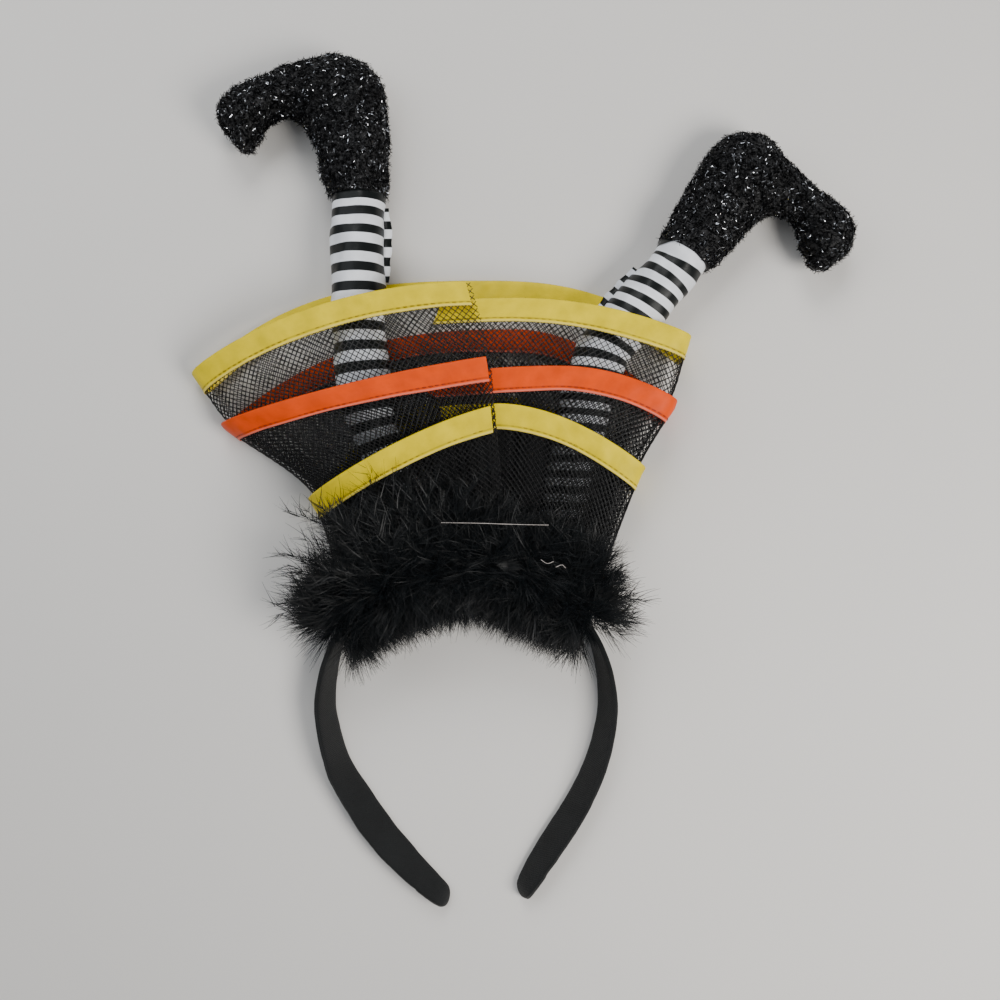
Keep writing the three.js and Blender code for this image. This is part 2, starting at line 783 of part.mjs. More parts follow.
// out: share of the row's reach. lift: rise for each millimetre out. droop: how it falls again.
const tuft = {
  overSkirt: { out: 1, lift: 0.34, droop: 0.02 },
  overArm: { out: 1, lift: 0.1, droop: 0.55 },
  standing: { out: 0.5, lift: 0.95, droop: 0.2 },
  inwards: { out: -1, lift: 0.15, droop: 0.85 },
};
const skirtEdge = 46; // angle along the crown where the locks no longer lie on the skirt

function featherTrim() {
  const bodies = [trimCore()];
  const first = trimRows[0].at;
  const last = trimRows[trimRows.length - 1].at;
  for (let i = 0; i < trim.places; i++) {
    const at = lerp(first + 2, last - 2, i / (trim.places - 1));
    const { row } = trimPlace(at);
    const wave = Math.sin(i * 2.4);
    const out = Math.abs(at) < skirtEdge ? tuft.overSkirt : tuft.overArm;
    const grown = (kind, reach) => lock(at, kind.out * reach, kind.lift, kind.droop, 0.25 * wave);
    bodies.push(grown(out, row.out * (0.9 + 0.1 * wave)));
    bodies.push(grown(tuft.inwards, row.down * (0.88 - 0.12 * wave)));
    if (i % 2 === 0) bodies.push(grown(tuft.standing, row.out));
  }
  return fuse(bodies);
}

// The whole object, centred over the table

function wholeHeadband() {
  const parts = new THREE.Group();
  parts.add(piece("headband", headband(), finish.bandCloth));
  rims.forEach((row, layer) => {
    parts.add(piece(row.net, net(layer), finish.net));
    parts.add(piece(row.hem, hem(layer), row.ribbon));
  });
  for (const name of ["left", "right"]) {
    parts.add(piece(`stocking_${name}`, stocking(name), finish.stripedSatin));
    parts.add(piece(`boot_${name}`, bootGeometry(name), finish.tinsel));
  }
  parts.add(piece("feather_trim", featherTrim(), finish.feather));
  const box = new THREE.Box3().setFromObject(parts);
  const middle = box.getCenter(new THREE.Vector3());
  parts.position.set(-middle.x, -middle.y, -box.min.z);
  const whole = new THREE.Group();
  whole.add(parts);
  return whole;
}

export default wholeHeadband();
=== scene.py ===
# A witch leg headband lying on its back. Metres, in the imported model's frame:
# X across the band, Y from the arms' tips to the boots, Z up off the floor.

import math

import bpy
import numpy as np
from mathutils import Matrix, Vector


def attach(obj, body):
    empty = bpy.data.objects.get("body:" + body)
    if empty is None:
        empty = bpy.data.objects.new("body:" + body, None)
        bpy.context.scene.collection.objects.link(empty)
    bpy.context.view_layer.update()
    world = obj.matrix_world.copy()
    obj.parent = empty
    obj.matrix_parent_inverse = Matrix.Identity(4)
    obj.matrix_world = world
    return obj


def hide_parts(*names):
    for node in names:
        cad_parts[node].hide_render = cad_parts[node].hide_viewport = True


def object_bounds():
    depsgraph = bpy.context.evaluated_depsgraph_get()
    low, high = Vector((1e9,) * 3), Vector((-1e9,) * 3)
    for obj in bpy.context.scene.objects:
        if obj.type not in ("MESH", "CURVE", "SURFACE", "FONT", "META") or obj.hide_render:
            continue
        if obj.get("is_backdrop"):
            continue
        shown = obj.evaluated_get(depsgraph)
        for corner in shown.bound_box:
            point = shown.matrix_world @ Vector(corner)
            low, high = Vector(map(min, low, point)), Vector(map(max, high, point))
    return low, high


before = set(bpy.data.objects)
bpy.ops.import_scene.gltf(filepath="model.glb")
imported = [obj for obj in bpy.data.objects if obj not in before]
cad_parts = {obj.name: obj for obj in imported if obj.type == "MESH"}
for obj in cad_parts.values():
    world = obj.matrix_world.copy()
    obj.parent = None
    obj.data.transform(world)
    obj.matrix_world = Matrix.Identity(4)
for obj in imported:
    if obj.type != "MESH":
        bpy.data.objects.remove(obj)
cad_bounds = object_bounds()


# Floor, light and camera
# A plain pale floor, a broad soft light from the right, a weaker one from the left, and a
# camera at arm's length straight above, where the headband was photographed from.

floor_size = 6
floor_drop = 0.0001  # the floor lies just under what rests on it
floor_color = (0.74, 0.72, 0.69)
sky_color = (0.8, 0.84, 0.9, 1)
sky_strength = 0.28
camera_place = (-0.009, -0.0061, 0.45)
camera_width = 36  # millimetres, as cameras state it
camera_lens = 36.8
camera_nearest = 0.01
noise_span = (0.3, 0.7)  # where most values of a noise lie

# place, size, power, color
lights = {
    "key_light": ((0.5, -0.22, 0.62), 0.42, 6.2, (1, 0.97, 0.93)),
    "fill_light": ((-0.55, 0.3, 0.6), 0.7, 2.2, (0.93, 0.96, 1)),
    "top_light": ((-0.1, 0.85, 0.8), 0.6, 5.5, (1, 1, 1)),
}


def feed(tree, socket, value):
    """Sets a node's input to a value, or links it to another node's output."""
    if isinstance(value, bpy.types.NodeSocket):
        tree.links.new(value, socket)
    else:
        socket.default_value = value


def add_node(tree, kind, inputs, **settings):
    """A new node with its inputs fed; settings are its own choices, such as operation."""
    made = tree.nodes.new("ShaderNode" + kind)
    for key, value in settings.items():
        setattr(made, key, value)
    for key, value in inputs.items():
        feed(tree, made.inputs[key], value)
    return made.outputs


def mapped(tree, value, low, high, to_low, to_high):
    """A value whose range from low to high becomes the one from to_low to to_high."""
    inputs = {"Value": value, 1: low, 2: high, 3: to_low, 4: to_high}
    return add_node(tree, "MapRange", inputs)["Result"]


def shaded(tree, color, strength):
    """A colour made darker or lighter by a strength that changes over the surface."""
    return add_node(tree, "VectorMath", {0: color, 3: strength}, operation="SCALE")["Vector"]


def new_material(name, inputs):
    """A new material with its shader's inputs set. Returns it, its nodes and its shader."""
    material = bpy.data.materials.new(name)
    material.use_nodes = True
    tree = material.node_tree
    shader = tree.nodes["Principled BSDF"]
    for key, value in inputs.items():
        shader.inputs[key].default_value = value
    return material, tree, shader


def new_group(name, takes, gives):
    """An empty shader group. Returns it with the sockets of its inputs and its outputs."""
    tree = bpy.data.node_groups.new(name, "ShaderNodeTree")
    for label, (kind, value) in takes.items():
        kind = "NodeSocket" + kind
        socket = tree.interface.new_socket(label, in_out="INPUT", socket_type=kind)
        if value is not None:
            socket.default_value = value
    for label, kind in gives.items():
        kind = "NodeSocket" + kind
        tree.interface.new_socket(label, in_out="OUTPUT", socket_type=kind)
    taken = tree.nodes.new("NodeGroupInput").outputs
    given = tree.nodes.new("NodeGroupOutput").inputs
    return tree, taken, given


def use_group(tree, group, inputs):
    """One use of a shader group, with its inputs fed. Returns its outputs."""
    made = tree.nodes.new("ShaderNodeGroup")
    made.node_tree = group
    for key, value in inputs.items():
        feed(tree, made.inputs[key], value)
    return made.outputs


# Uneven: how much a colour or a roughness drifts from place to place.
uneven, taken, given = new_group(
    "Uneven",
    {"Place": ("Vector", None), "Scale": ("Float", 50), "Low": ("Float", 0), "High": ("Float", 1)},
    {"Value": "Float"},
)
noise = add_node(
    uneven, "TexNoise", {"Vector": taken["Place"], "Scale": taken["Scale"], "Detail": 4}
)
spread = mapped(uneven, noise["Fac"], *noise_span, taken["Low"], taken["High"])
feed(uneven, given["Value"], spread)


def drift(tree, place, scale, low, high):
    """How strong a colour is at a place: unevenly between low and high."""
    inputs = {"Place": place, "Scale": scale, "Low": low, "High": high}
    return use_group(tree, uneven, inputs)["Value"]


def dyed(name, color, inputs, *unevenness):
    """A new material of one colour, with the scale, low and high of its unevenness."""
    material, tree, shader = new_material(name, inputs)
    place = add_node(tree, "TexCoord", {})["Object"]
    tint = shaded(tree, color, drift(tree, place, *unevenness))
    feed(tree, shader.inputs["Base Color"], tint)
    return material


bpy.ops.mesh.primitive_plane_add(size=floor_size, location=(0, 0, -floor_drop))
floor = bpy.context.object
floor.name = "floor"
floor.data.materials.append(dyed("pale_floor", floor_color, {"Roughness": 0.75}, 3, 0.97, 1.03))
floor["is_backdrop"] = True

for name, (where, size, power, color) in lights.items():
    lamp = bpy.data.lights.new(name, "AREA")
    lamp.shape = "DISK"
    lamp.size = size
    lamp.energy = power
    lamp.color = color
    holder = bpy.data.objects.new(name, lamp)
    holder.location = where
    aim = holder.location.copy()
    aim.negate()
    holder.rotation_euler = aim.to_track_quat("-Z", "Y").to_euler()
    bpy.context.scene.collection.objects.link(holder)
    holder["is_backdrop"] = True

world = bpy.data.worlds.new("studio")
world.use_nodes = True
sky = world.node_tree.nodes["Background"].inputs
sky["Color"].default_value = sky_color
sky["Strength"].default_value = sky_strength
bpy.context.scene.world = world

camera = bpy.data.cameras.new("camera")
camera.sensor_width = camera_width
camera.lens = camera_lens
camera.clip_start = camera_nearest
viewer = bpy.data.objects.new("camera", camera)
viewer.location = camera_place
bpy.context.scene.collection.objects.link(viewer)
bpy.context.scene.camera = viewer


# Headband
# A springy plastic arch covered in fine black cloth, which is glued down and tucked in at the
# two rounded tips. It stands on its edge at the crown and leans over further down the arms.

crown_centre = np.array([-0.023527, -0.096336, 0.000017])  # every table's origin, in the frame
crown_radius = 0.0655  # outside of the crown, a half circle
band_width = 0.014
band_thickness = 0.0028
arm_length = 0.088
tip_round = 0.0065
tip_least = 0.02  # share of the rounding that the last ring has
band_corner = 0.4  # how round the section is: 1 is an ellipse, 0 a box
band_rings = 430
band_sides = 28
tuck_start = 0.004  # the cloth tucked in at a tip makes a slanting ridge, this far from the tip
tuck_slant = 0.011
tuck_rise = 0.00045
tuck_soft = 0.0003
ripple_waves = 7
ripple_range = (0.7, 1.5)  # of the waves' lengths, in shares of their mean
crease_stretch = (1, 1, 2.5)
long_creases = [(0.006, 3, 0.00007)]  # a bump's size, its seed and its height
fine_creases = [(0.002, 4, 0.00003)]
band_black = (0.0042, 0.005, 0.0054)

# Shares of the arm's length and the crown's radius, the lean in degrees, share of the width.
arms = {
    -1: [
        (0.2, 0.96, 32, 1),
        (0.34, 0.91, 42, 1),
        (0.5, 0.8, 55, 1),
        (0.65, 0.67, 60, 1),
        (0.8, 0.49, 60, 0.95),
        (0.92, 0.3, 55, 0.8),
        (1, 0.15, 50, 0.65),
    ],
    1: [
        (0.19, 0.965, 30, 1),
        (0.35, 0.9, 34, 1),
        (0.53, 0.785, 38, 1),
        (0.7, 0.64, 40, 0.98),
        (0.83, 0.52, 40, 0.88),
        (0.96, 0.4, 36, 0.68),
    ],
}
crown_lean = ((0, 52, 70, 90), (0, 0, 18, 26))  # degrees along the crown, degrees of lean


def spline(posts, places, power=0.5):
    """Points of a smooth curve through posts, at places from 0 to 1."""
    posts = np.asarray(posts, float)
    before = 2 * posts[0] - posts[1]
    after = 2 * posts[-1] - posts[-2]
    padded = np.vstack([before, posts, after])
    spot = np.clip(places, 0, 1) * (len(posts) - 1)
    first = np.minimum(spot.astype(int), len(posts) - 2)
    t = (spot - first)[:, None]
    a, b, c, d = (padded[first + k] for k in range(4))

    def gap(p, q):
        return np.linalg.norm(q - p, axis=1, keepdims=True) ** power

    ab, bc, cd = gap(a, b), gap(b, c), gap(c, d)
    leave = ((b - a) / ab - (c - a) / (ab + bc) + (c - b) / bc) * bc
    arrive = ((c - b) / bc - (d - b) / (bc + cd) + (d - c) / cd) * bc
    cubic = 2 * b - 2 * c + leave + arrive
    square = 3 * c - 3 * b - 2 * leave - arrive
    return b + leave * t + square * t**2 + cubic * t**3


def unit(vectors):
    """The same vectors at length 1."""
    return vectors / np.maximum(np.linalg.norm(vectors, axis=-1, keepdims=True), 1e-12)


def distances(line):
    """How far each point of a line lies from its start, along it."""
    return np.r_[0, np.cumsum(np.linalg.norm(np.diff(line, axis=0), axis=1))]


def circle(sides):
    """Cosines and sines of even turns round a ring."""
    turn = np.linspace(0, 2 * math.pi, sides, endpoint=False)
    return np.cos(turn), np.sin(turn)


def ripple(points, size, seed):
    """Smooth unevenness, about -1 to 1, with bumps about size metres wide."""
    luck = np.random.default_rng(seed)
    total = 0
    for _ in range(ripple_waves):
        way = unit(luck.normal(size=3)) * 2 * math.pi / (2 * size * luck.uniform(*ripple_range))
        total = total + np.sin(points @ way + luck.uniform(0, 2 * math.pi))
    return total / math.sqrt(ripple_waves)


def bumps(points, rows):
    """The sum of ripples. A row holds a bump's size, its seed and its height."""
    return sum(ripple(points, size, seed) * height for size, seed, height in rows)


def walls(count, sides):
    """Faces between neighbouring rings, each of which has as many points as sides."""
    index = np.arange(count * sides).reshape(count, sides)
    turned = np.roll(index, -1, axis=1)
    return np.stack([index[:-1], turned[:-1], turned[1:], index[1:]], -1).reshape(-1, 4)


def skin(rings):
    """Points and outward faces of a closed body through rings of equal count."""
    count, sides = rings.shape[:2]
    points = np.vstack([rings.reshape(-1, 3), rings[[0, -1]].mean(axis=1)])
    quads = walls(count, sides)
    first = np.arange(sides)
    second = np.roll(first, -1)
    last = (count - 1) * sides
    start = np.full(sides, count * sides)
    fans = np.concatenate(
        [
            np.stack([second, first, start], -1),
            np.stack([first + last, second + last, start + 1], -1),
        ]
    )
    a, b, c = (points[quads[:, k]] - points.mean(axis=0) for k in range(3))
    if np.einsum("ij,ij->i", a, np.cross(b, c)).sum() < 0:
        quads, fans = quads[:, ::-1], fans[:, ::-1]
    return points, quads.tolist() + fans.tolist()


def new_piece(name, points, faces, look):
    """A new smooth mesh of the headband, riding on its one body. points: from the crown."""
    data = bpy.data.meshes.new(name)
    data.from_pydata((points + crown_centre).tolist(), [], faces)
    data.polygons.foreach_set("use_smooth", np.ones(len(faces), bool))
    data.materials.append(look)
    made = bpy.data.objects.new(name, data)
    bpy.context.scene.collection.objects.link(made)
    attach(made, "root")
    return made


def keep_values(piece, name, values):
    """Keeps a number or a vector for each point under name, for the material to read."""
    values = np.asarray(values, np.float32)
    kind, field = ("FLOAT", "value") if values.ndim == 1 else ("FLOAT_VECTOR", "vector")
    kept = piece.data.attributes.new(name, kind, "POINT")
    kept.data.foreach_set(field, values.ravel())


def maths(tree, operation, *numbers):
    """The outcome of one operation on numbers or on outputs of other nodes."""
    return add_node(tree, "Math", dict(enumerate(numbers)), operation=operation)["Value"]


# Plain weave: threads that pass over and under each other, as a slope of the surface.
weave, taken, given = new_group(
    "Plain weave",
    {"Place": ("Vector", None), "Thread": ("Float", 0.0004), "Depth": ("Float", 0.00005)},
    {"Normal": "Vector", "Height": "Float"},
)
threads = add_node(
    weave, "VectorMath", {0: taken["Place"], 1: taken["Thread"]}, operation="DIVIDE"
)
axes = add_node(weave, "SeparateXYZ", {0: threads["Vector"]})
waves, steps = [], []
for axis in ("X", "Y"):
    turn = maths(weave, "MULTIPLY", axes[axis], math.pi)
    waves.append(maths(weave, "ABSOLUTE", maths(weave, "SINE", turn)))
    steps.append(maths(weave, "FLOOR", axes[axis]))
over = maths(weave, "FLOORED_MODULO", maths(weave, "ADD", *steps), 2)
height = add_node(weave, "Mix", {0: over, 2: waves[0], 3: waves[1]})
slope = add_node(weave, "Bump", {"Height": height[0], "Distance": taken["Depth"]})
feed(weave, given["Normal"], slope["Normal"])
feed(weave, given["Height"], height[0])

band_cloth, tree, shader = new_material(
    "band_cloth", {"Roughness": 0.55, "Specular IOR Level": 0.3, "Sheen Weight": 0.03}
)
cloth = add_node(tree, "Attribute", {}, attribute_name="cloth")["Vector"]
woven = use_group(tree, weave, {"Place": cloth, "Thread": 0.00055, "Depth": 0.0002})
# Painted shade: the weave's height darkens the colour in the hollows between threads and lightens
# their crests, and the drift adds the cloth's random unevenness.
shown = maths(tree, "ADD", woven["Height"], 0.5)
weave_shade_and_tone = maths(tree, "MULTIPLY", shown, drift(tree, cloth, 60, 0.8, 1.25))
feed(tree, shader.inputs["Base Color"], shaded(tree, band_black, weave_shade_and_tone))
feed(tree, shader.inputs["Normal"], woven["Normal"])


def band_stations():
    """The band's outside edge from the left tip to the right one: x, y, lean and width."""

    def arm(side):
        return [
            (side * out * crown_radius, -down * arm_length, lean, width)
            for down, out, lean, width in arms[side]
        ]

    crown = []
    for angle in range(-90, 91, 15):
        turn = math.radians(angle)
        lean = np.interp(abs(angle), *crown_lean)
        crown.append((crown_radius * math.sin(turn), crown_radius * math.cos(turn), lean, 1))
    return np.array(arm(-1)[::-1] + crown + arm(1))


stations = band_stations()
places = np.linspace(0, 1, band_rings)
edge = np.c_[spline(stations[:, :2], places), np.zeros(band_rings)]
lean, width = spline(stations[:, 2:], places, power=0).T
lean = np.radians(lean)[:, None]
run = distances(edge)
depth = np.clip(np.minimum(run, run[-1] - run) / tip_round, tip_least, 1)
width = (width * band_width * np.sqrt(1 - (1 - depth) ** 2))[:, None]
along = unit(np.gradient(edge, axis=0))
outwards = np.c_[-along[:, 1], along[:, 0], np.zeros(band_rings)]
up = np.array([0, 0, 1])
across = outwards * np.sin(lean) + up * np.cos(lean)
through = outwards * np.cos(lean) - up * np.sin(lean)
inset = band_thickness / 2 * np.cos(lean) + width / 2 * np.sin(lean)
middle = edge - outwards * inset
middle[:, 2:] = (width * np.cos(lean) + band_thickness * np.sin(lean)) / 2
wide, deep = (np.sign(part) * np.abs(part) ** band_corner / 2 for part in circle(band_sides))
rings = (
    middle[:, None]
    + across[:, None] * (width * wide)[..., None]
    + through[:, None] * (deep * band_thickness)[None, :, None]
)
crease = bumps(rings * crease_stretch, long_creases) + bumps(rings, fine_creases)
tip_run = np.minimum(run, run[-1] - run)[:, None]
tuck_edge = tuck_start + tuck_slant * (wide + 0.5)[None]
tuck = tuck_rise / (1 + np.exp((tip_run - tuck_edge) / tuck_soft))
rings = rings + (crease + tuck)[..., None] * unit(rings - middle[:, None])
rings[..., 2] = np.maximum(rings[..., 2], 0)
points, faces = skin(rings)
headband = new_piece("hair_band", points, faces, band_cloth)
around = distances(np.c_[wide * band_width, deep * band_thickness])
flat = np.stack(np.broadcast_arrays(run[:, None], around[None], 0.0), -1).reshape(-1, 3)
keep_values(headband, "cloth", np.vstack([flat, flat[[0, -1]]]))
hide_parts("headband")


# Nets
# Three stacked strips of stiff black diamond net, gathered on the crown and rolled into one open
# skirt. The left end of the stack lies over the right end at the front. They are real threads.

skirt_width = 0.214
skirt_height = 0.121
layer_pitch = 0.002  # from one net to the next at a rim
base_pitch = 0.0015  # the same at the base
fold_height = 0.0065  # of the side folds, off the floor
hem_wall = 0.0018
thread_pitch = 0.00195  # between neighbouring threads
thread_radius = 0.0002
thread_step = 0.004
thread_search = 0.0005  # how closely the ends of a thread are found
thread_least = 4  # of these steps, or the thread is left out
gather_swell = 0.5  # how much thicker the crowded threads look at the gathered base
thread_sides = 3
net_black = (0.004, 0.0042, 0.0046)
sheet_columns = 260
sheet_rows = 60
rim_fine = np.linspace(0, 1, 1601)  # shares along a rim, for measuring it
height_fine = np.linspace(0, 1, 161)

# Shares of the skirt's width and height, from the crown's top; front: height off the floor.
rims = [
    {
        "name": "tall",
        "left": (-0.554, 0.658, 1.6),  # with how much wider apart the layers lie there
        "right": (0.443, 0.775, 1.1),
        "left_top": (0.02, 0.944, 2),  # with how the arch bends down from its top
        "left_end": (0.012, 0.944),
        "right_top": (0.105, 0.892, 2),
        "right_end": (-0.05, 0.88),
        "back_top": (0.044, 1, 3, 2.5),  # with its bends to the left and to the right
        "front": 0.03,
    },
    {
        "name": "middle",
        "left": (-0.495, 0.476, 1.6),
        "right": (0.415, 0.55, 1.15),
        "left_top": (0.114, 0.7, 1.3),
        "left_end": (0.049, 0.69),
        "right_top": (0.185, 0.66, 2),
        "right_end": (-0.095, 0.617),
        "back_top": (0.105, 0.824, 2.7, 1.8),
        "front": 0.03,
    },
    {
        "name": "short",
        "left": (-0.318, 0.212, 1.45),
        "right": (0.352, 0.318, 1.15),
        "left_top": (0.091, 0.531, 1.4),
        "left_end": (0.058, 0.527),
        "right_top": (0.068, 0.531, 1.8),
        "right_end": (-0.054, 0.518),
        "back_top": (0.03, 0.584, 2.2, 2.2),
        "front": 0.0284,
    },
]
base_sides = (-52, 52)  # degrees along the crown
base_ends = (16, -10)  # of the left end and the right end
base_spread = 1.2
base_front = 0.68  # heights off the floor, in shares of the band's width
base_back = 0.036
seat_radius = crown_radius + 0.0006
folds = (0.24, 0.72)  # where the roll passes the right and the left fold, in shares
side_round = (0.9, 0.2, 0.3)  # left, right and back
wrap_run = 0.7  # share of the left front over which the stack climbs on its other end


def looked_up(at, known, columns):
    """The value of each column at some places, between those where it is known."""
    return np.stack([np.interp(at, known, column) for column in columns.T], -1)


def turn_at(share, left_end, right_end):
    """Which stretch of the roll a place is on, its turn about the middle, and its climb."""
    on_right, on_left = share < folds[0], share >= folds[1]
    right_turn = right_end * (1 - share / folds[0])
    back_turn = math.pi * (share - folds[0]) / (folds[1] - folds[0])
    gone = (share - folds[1]) / (1 - folds[1])
    left_turn = math.pi + (left_end - math.pi) * gone
    turn = np.where(on_right, right_turn, np.where(on_left, left_turn, back_turn))
    s = np.clip(gone / wrap_run, 0, 1)
    climb = np.where(on_left, s * s * (3 - 2 * s), 0)
    return on_right, on_left, turn, climb


def rise(on_right, on_left, turn, front, lowest):
    """Height off the floor, from a side fold to the middle of the front or the back."""
    on_back = ~(on_right | on_left)
    level = np.where(on_back, lowest, front)
    front_round = side_round[0] + (side_round[1] - side_round[0]) * (np.cos(turn) + 1) / 2
    power = np.where(on_back, side_round[2], front_round)
    return fold_height + (level - fold_height) * np.maximum(np.sin(turn), 0) ** power


def arch(x, top, corner, bend, end):
    """Height of an arch at x, which falls from its top to a corner or to an end."""
    past = (x - top[0]) / (corner[0] - top[0])
    back = (x - top[0]) / (end[0] - top[0])
    to_corner = top[1] - (top[1] - corner[1]) * np.maximum(past, 0) ** bend
    to_end = top[1] - (top[1] - end[1]) * back**2
    return np.where(past >= 0, to_corner, to_end)


def rim_points(level, layer, share):
    """Points at the level of one rim, on one layer, at shares along the roll."""
    row = rims[level]
    inset = (level - layer) * layer_pitch / skirt_width
    left = row["left"][0] + inset * row["left"][2]
    right = row["right"][0] - inset * row["right"][2]
    middle, half = (left + right) / 2, (right - left) / 2
    ends = [math.acos((row[k][0] - middle) / half) for k in ("left_end", "right_end")]
    on_right, on_left, turn, climb = turn_at(share, *ends)
    x = middle + half * np.cos(turn)
    corner_left, corner_right = (left, row["left"][1]), (right, row["right"][1])
    right_y = arch(x, row["right_top"], corner_right, row["right_top"][2], row["right_end"])
    left_y = arch(x, row["left_top"], corner_left, row["left_top"][2], row["left_end"])
    top = row["back_top"]
    back_left = arch(x, top, corner_left, top[2], corner_left)
    back_right = arch(x, top, corner_right, top[3], corner_right)
    back_y = np.where(x < top[0], back_left, back_right)
    y = np.where(on_right, right_y, np.where(on_left, left_y, back_y))
    front = row["front"] + layer * layer_pitch
    lowest = hem_wall / 2 + (level - layer) * layer_pitch
    z = rise(on_right, on_left, turn, front, lowest) + climb * (level + 1) * layer_pitch
    return np.stack([x * skirt_width, crown_radius + y * skirt_height, z], -1)


def base_points(layer, share):
    """Points where one layer is sewn to the crown, at shares along the roll."""
    inner = len(rims) - 1 - layer
    inset = math.degrees(inner * base_pitch / seat_radius) * base_spread
    left, right = base_sides[0] + inset, base_sides[1] - inset
    middle, half = (left + right) / 2, (right - left) / 2
    ends = [math.acos((angle - middle) / half) for angle in base_ends]
    on_right, on_left, turn, climb = turn_at(share, *ends)
    angle = np.radians(middle + half * np.cos(turn))
    front = base_front * band_width + layer * base_pitch
    lowest = base_back * band_width + inner * base_pitch
    z = rise(on_right, on_left, turn, front, lowest) + climb * len(rims) * base_pitch
    return np.stack([seat_radius * np.sin(angle), seat_radius * np.cos(angle), z], -1)


def skirt_sheet(layer):
    """One layer as a grid, row 0 at its base: points, facing, heights and the rim's length."""
    run = distances(rim_points(layer, layer, rim_fine))
    share = np.interp(np.linspace(0, run[-1], sheet_columns + 1), run, rim_fine)
    levels = [base_points(layer, share)]
    levels += [rim_points(level, layer, share) for level in reversed(range(len(rims)))]
    own = (len(rims) - layer) / len(rims)
    grid, heights = [], []
    for posts in np.stack(levels, 1):
        line = spline(posts, own * height_fine)
        gone = distances(line)
        even = np.linspace(0, gone[-1], sheet_rows + 1)
        grid.append(looked_up(even, gone, line))
        heights.append(gone[-1])
    grid = np.stack(grid, 1)
    facing = unit(np.cross(np.gradient(grid, axis=1), np.gradient(grid, axis=0)))
    return {"points": grid, "facing": facing, "heights": np.array(heights), "length": run[-1]}


def on_sheet(sheet, run, down):
    """Points and facing of a sheet, at distances along its rim and down from it."""
    column = np.clip(run / sheet["length"], 0, 1) * sheet_columns
    height = np.interp(column, np.arange(sheet_columns + 1), sheet["heights"])
    row = np.clip(1 - down / height, 0, 1) * sheet_rows
    c = np.minimum(column.astype(int), sheet_columns - 1)
    r = np.minimum(row.astype(int), sheet_rows - 1)
    a, b = (column - c)[..., None], (row - r)[..., None]
    found = []
    for grid in (sheet["points"], sheet["facing"]):
        low = grid[r, c] * (1 - a) + grid[r, c + 1] * a
        high = grid[r + 1, c] * (1 - a) + grid[r + 1, c + 1] * a
        found.append(low * (1 - b) + high * b)
    return found[0], unit(found[1])


def thread_tube(middle, facing, radius, sides):
    """Points and faces of a thread that is open at both ends. radius: at each point."""
    along = unit(np.gradient(middle, axis=0))
    across = unit(np.cross(along, facing))
    top = np.cross(across, along)
    turn = math.pi / 2 + 2 * math.pi * np.arange(sides) / sides
    ring = across[:, None] * np.cos(turn)[:, None] + top[:, None] * np.sin(turn)[:, None]
    points = (middle[:, None] + ring * radius[:, None, None]).reshape(-1, 3)
    return points, walls(len(middle), sides)


def joined(parts):
    """Many points and faces as one."""
    counts = np.cumsum([0] + [len(points) for points, _ in parts])
    faces = np.concatenate([faces + counts[i] for i, (_, faces) in enumerate(parts)])
    return np.concatenate([points for points, _ in parts]), faces


def net_threads(sheet):
    """Two slanting families of threads that cross all over a sheet."""
    parts = []
    length, deepest = sheet["length"], sheet["heights"].max()
    down = np.arange(0, deepest, thread_search)
    columns = np.linspace(0, length, sheet_columns + 1)
    between = thread_pitch * math.sqrt(2)
    for slant in (-1, 1):
        first = -deepest if slant > 0 else 0
        last = length if slant > 0 else length + deepest
        for start in np.arange(first, last, between):
            run = start + slant * down
            inside = (run >= 0) & (run <= length)
            inside &= down <= np.interp(run, columns, sheet["heights"])
            if inside.sum() < thread_least:
                continue
            ends = down[inside][[0, -1]]
            count = max(2, math.ceil((ends[1] - ends[0]) / thread_step) + 1)
            place = np.linspace(*ends, count)
            middle, facing = on_sheet(sheet, start + slant * place, place)
            radius = thread_radius * (1 + gather_swell * place / deepest)
            parts.append(thread_tube(middle, facing, radius, thread_sides))
    return joined(parts)


net_look = dyed("net", net_black, {"Roughness": 0.4, "Specular IOR Level": 0.45}, 90, 0.7, 1.6)
sheets = [skirt_sheet(layer) for layer in range(len(rims))]
for row, sheet in zip(rims, sheets):
    points, faces = net_threads(sheet)
    net = new_piece("diamond_net_" + row["name"], points, faces.tolist(), net_look)
    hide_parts("net_" + row["name"])


# Hems
# Satin ribbons folded over the nets' rims and sewn through close above their lower edge. The
# seam puckers the satin a little, and a lighter selvedge shows below it.

hem_height = 0.0105
hem_end_short = 0.0013  # how far a ribbon stops short of its net's end
ribbon_half = 0.00062  # from the net to the ribbon's outer face
ribbon_wall = 0.00025
hem_step = 0.001
hem_posts = (1, 0.95, 0.9, 0.85, 0.8, 0.7, 0.55, 0.35, 0.2)  # shares of the hem's height
hem_bend_posts = 7
sides_apart = 4  # how much further apart the ribbon's two sides lie for their bumps
ribbon_seed = 20
seam_down = 0.0089
seam_width = 0.0006
seam_painted_shade = 0.62  # strength of the colour in the seam, as painted shade in its groove
seam_pull = 0.00022  # how deep the seam pulls the satin in
stitch_pull = 0.00008  # and how much deeper at each stitch
puckers = (0.0032, 0.00014)  # a bump's size and height
billows = (0.012, 0.00016)
billow_free = 0.003  # from the rim to where the satin lies free enough to billow
edge_waves = (0.018, 0.00018)
stitch_pitch = 0.0029
stitch_size = (0.0017, 0.0003, 0.00016)
stitch_margin = 0.003
stitch_sunk = 0.0002
stitch_corners = np.array(
    [(-1, -0.6), (-0.6, -1), (0.6, -1), (1, -0.6), (1, 0.6), (0.6, 1), (-0.6, 1), (-1, 0.6)]
)
selvedge_height = 0.001
selvedge_soft = 0.0003
selvedge_pale = 0.35  # how much of its own lighter colour shows
selvedge_white = 0.3  # how much white that colour holds
float_stretch = (0.12, 1, 1)  # the satin's floats run far along X
ribbon_joint = 0.4  # share of the short hem's left front, where its two lengths overlap
joint_step = 0.0003
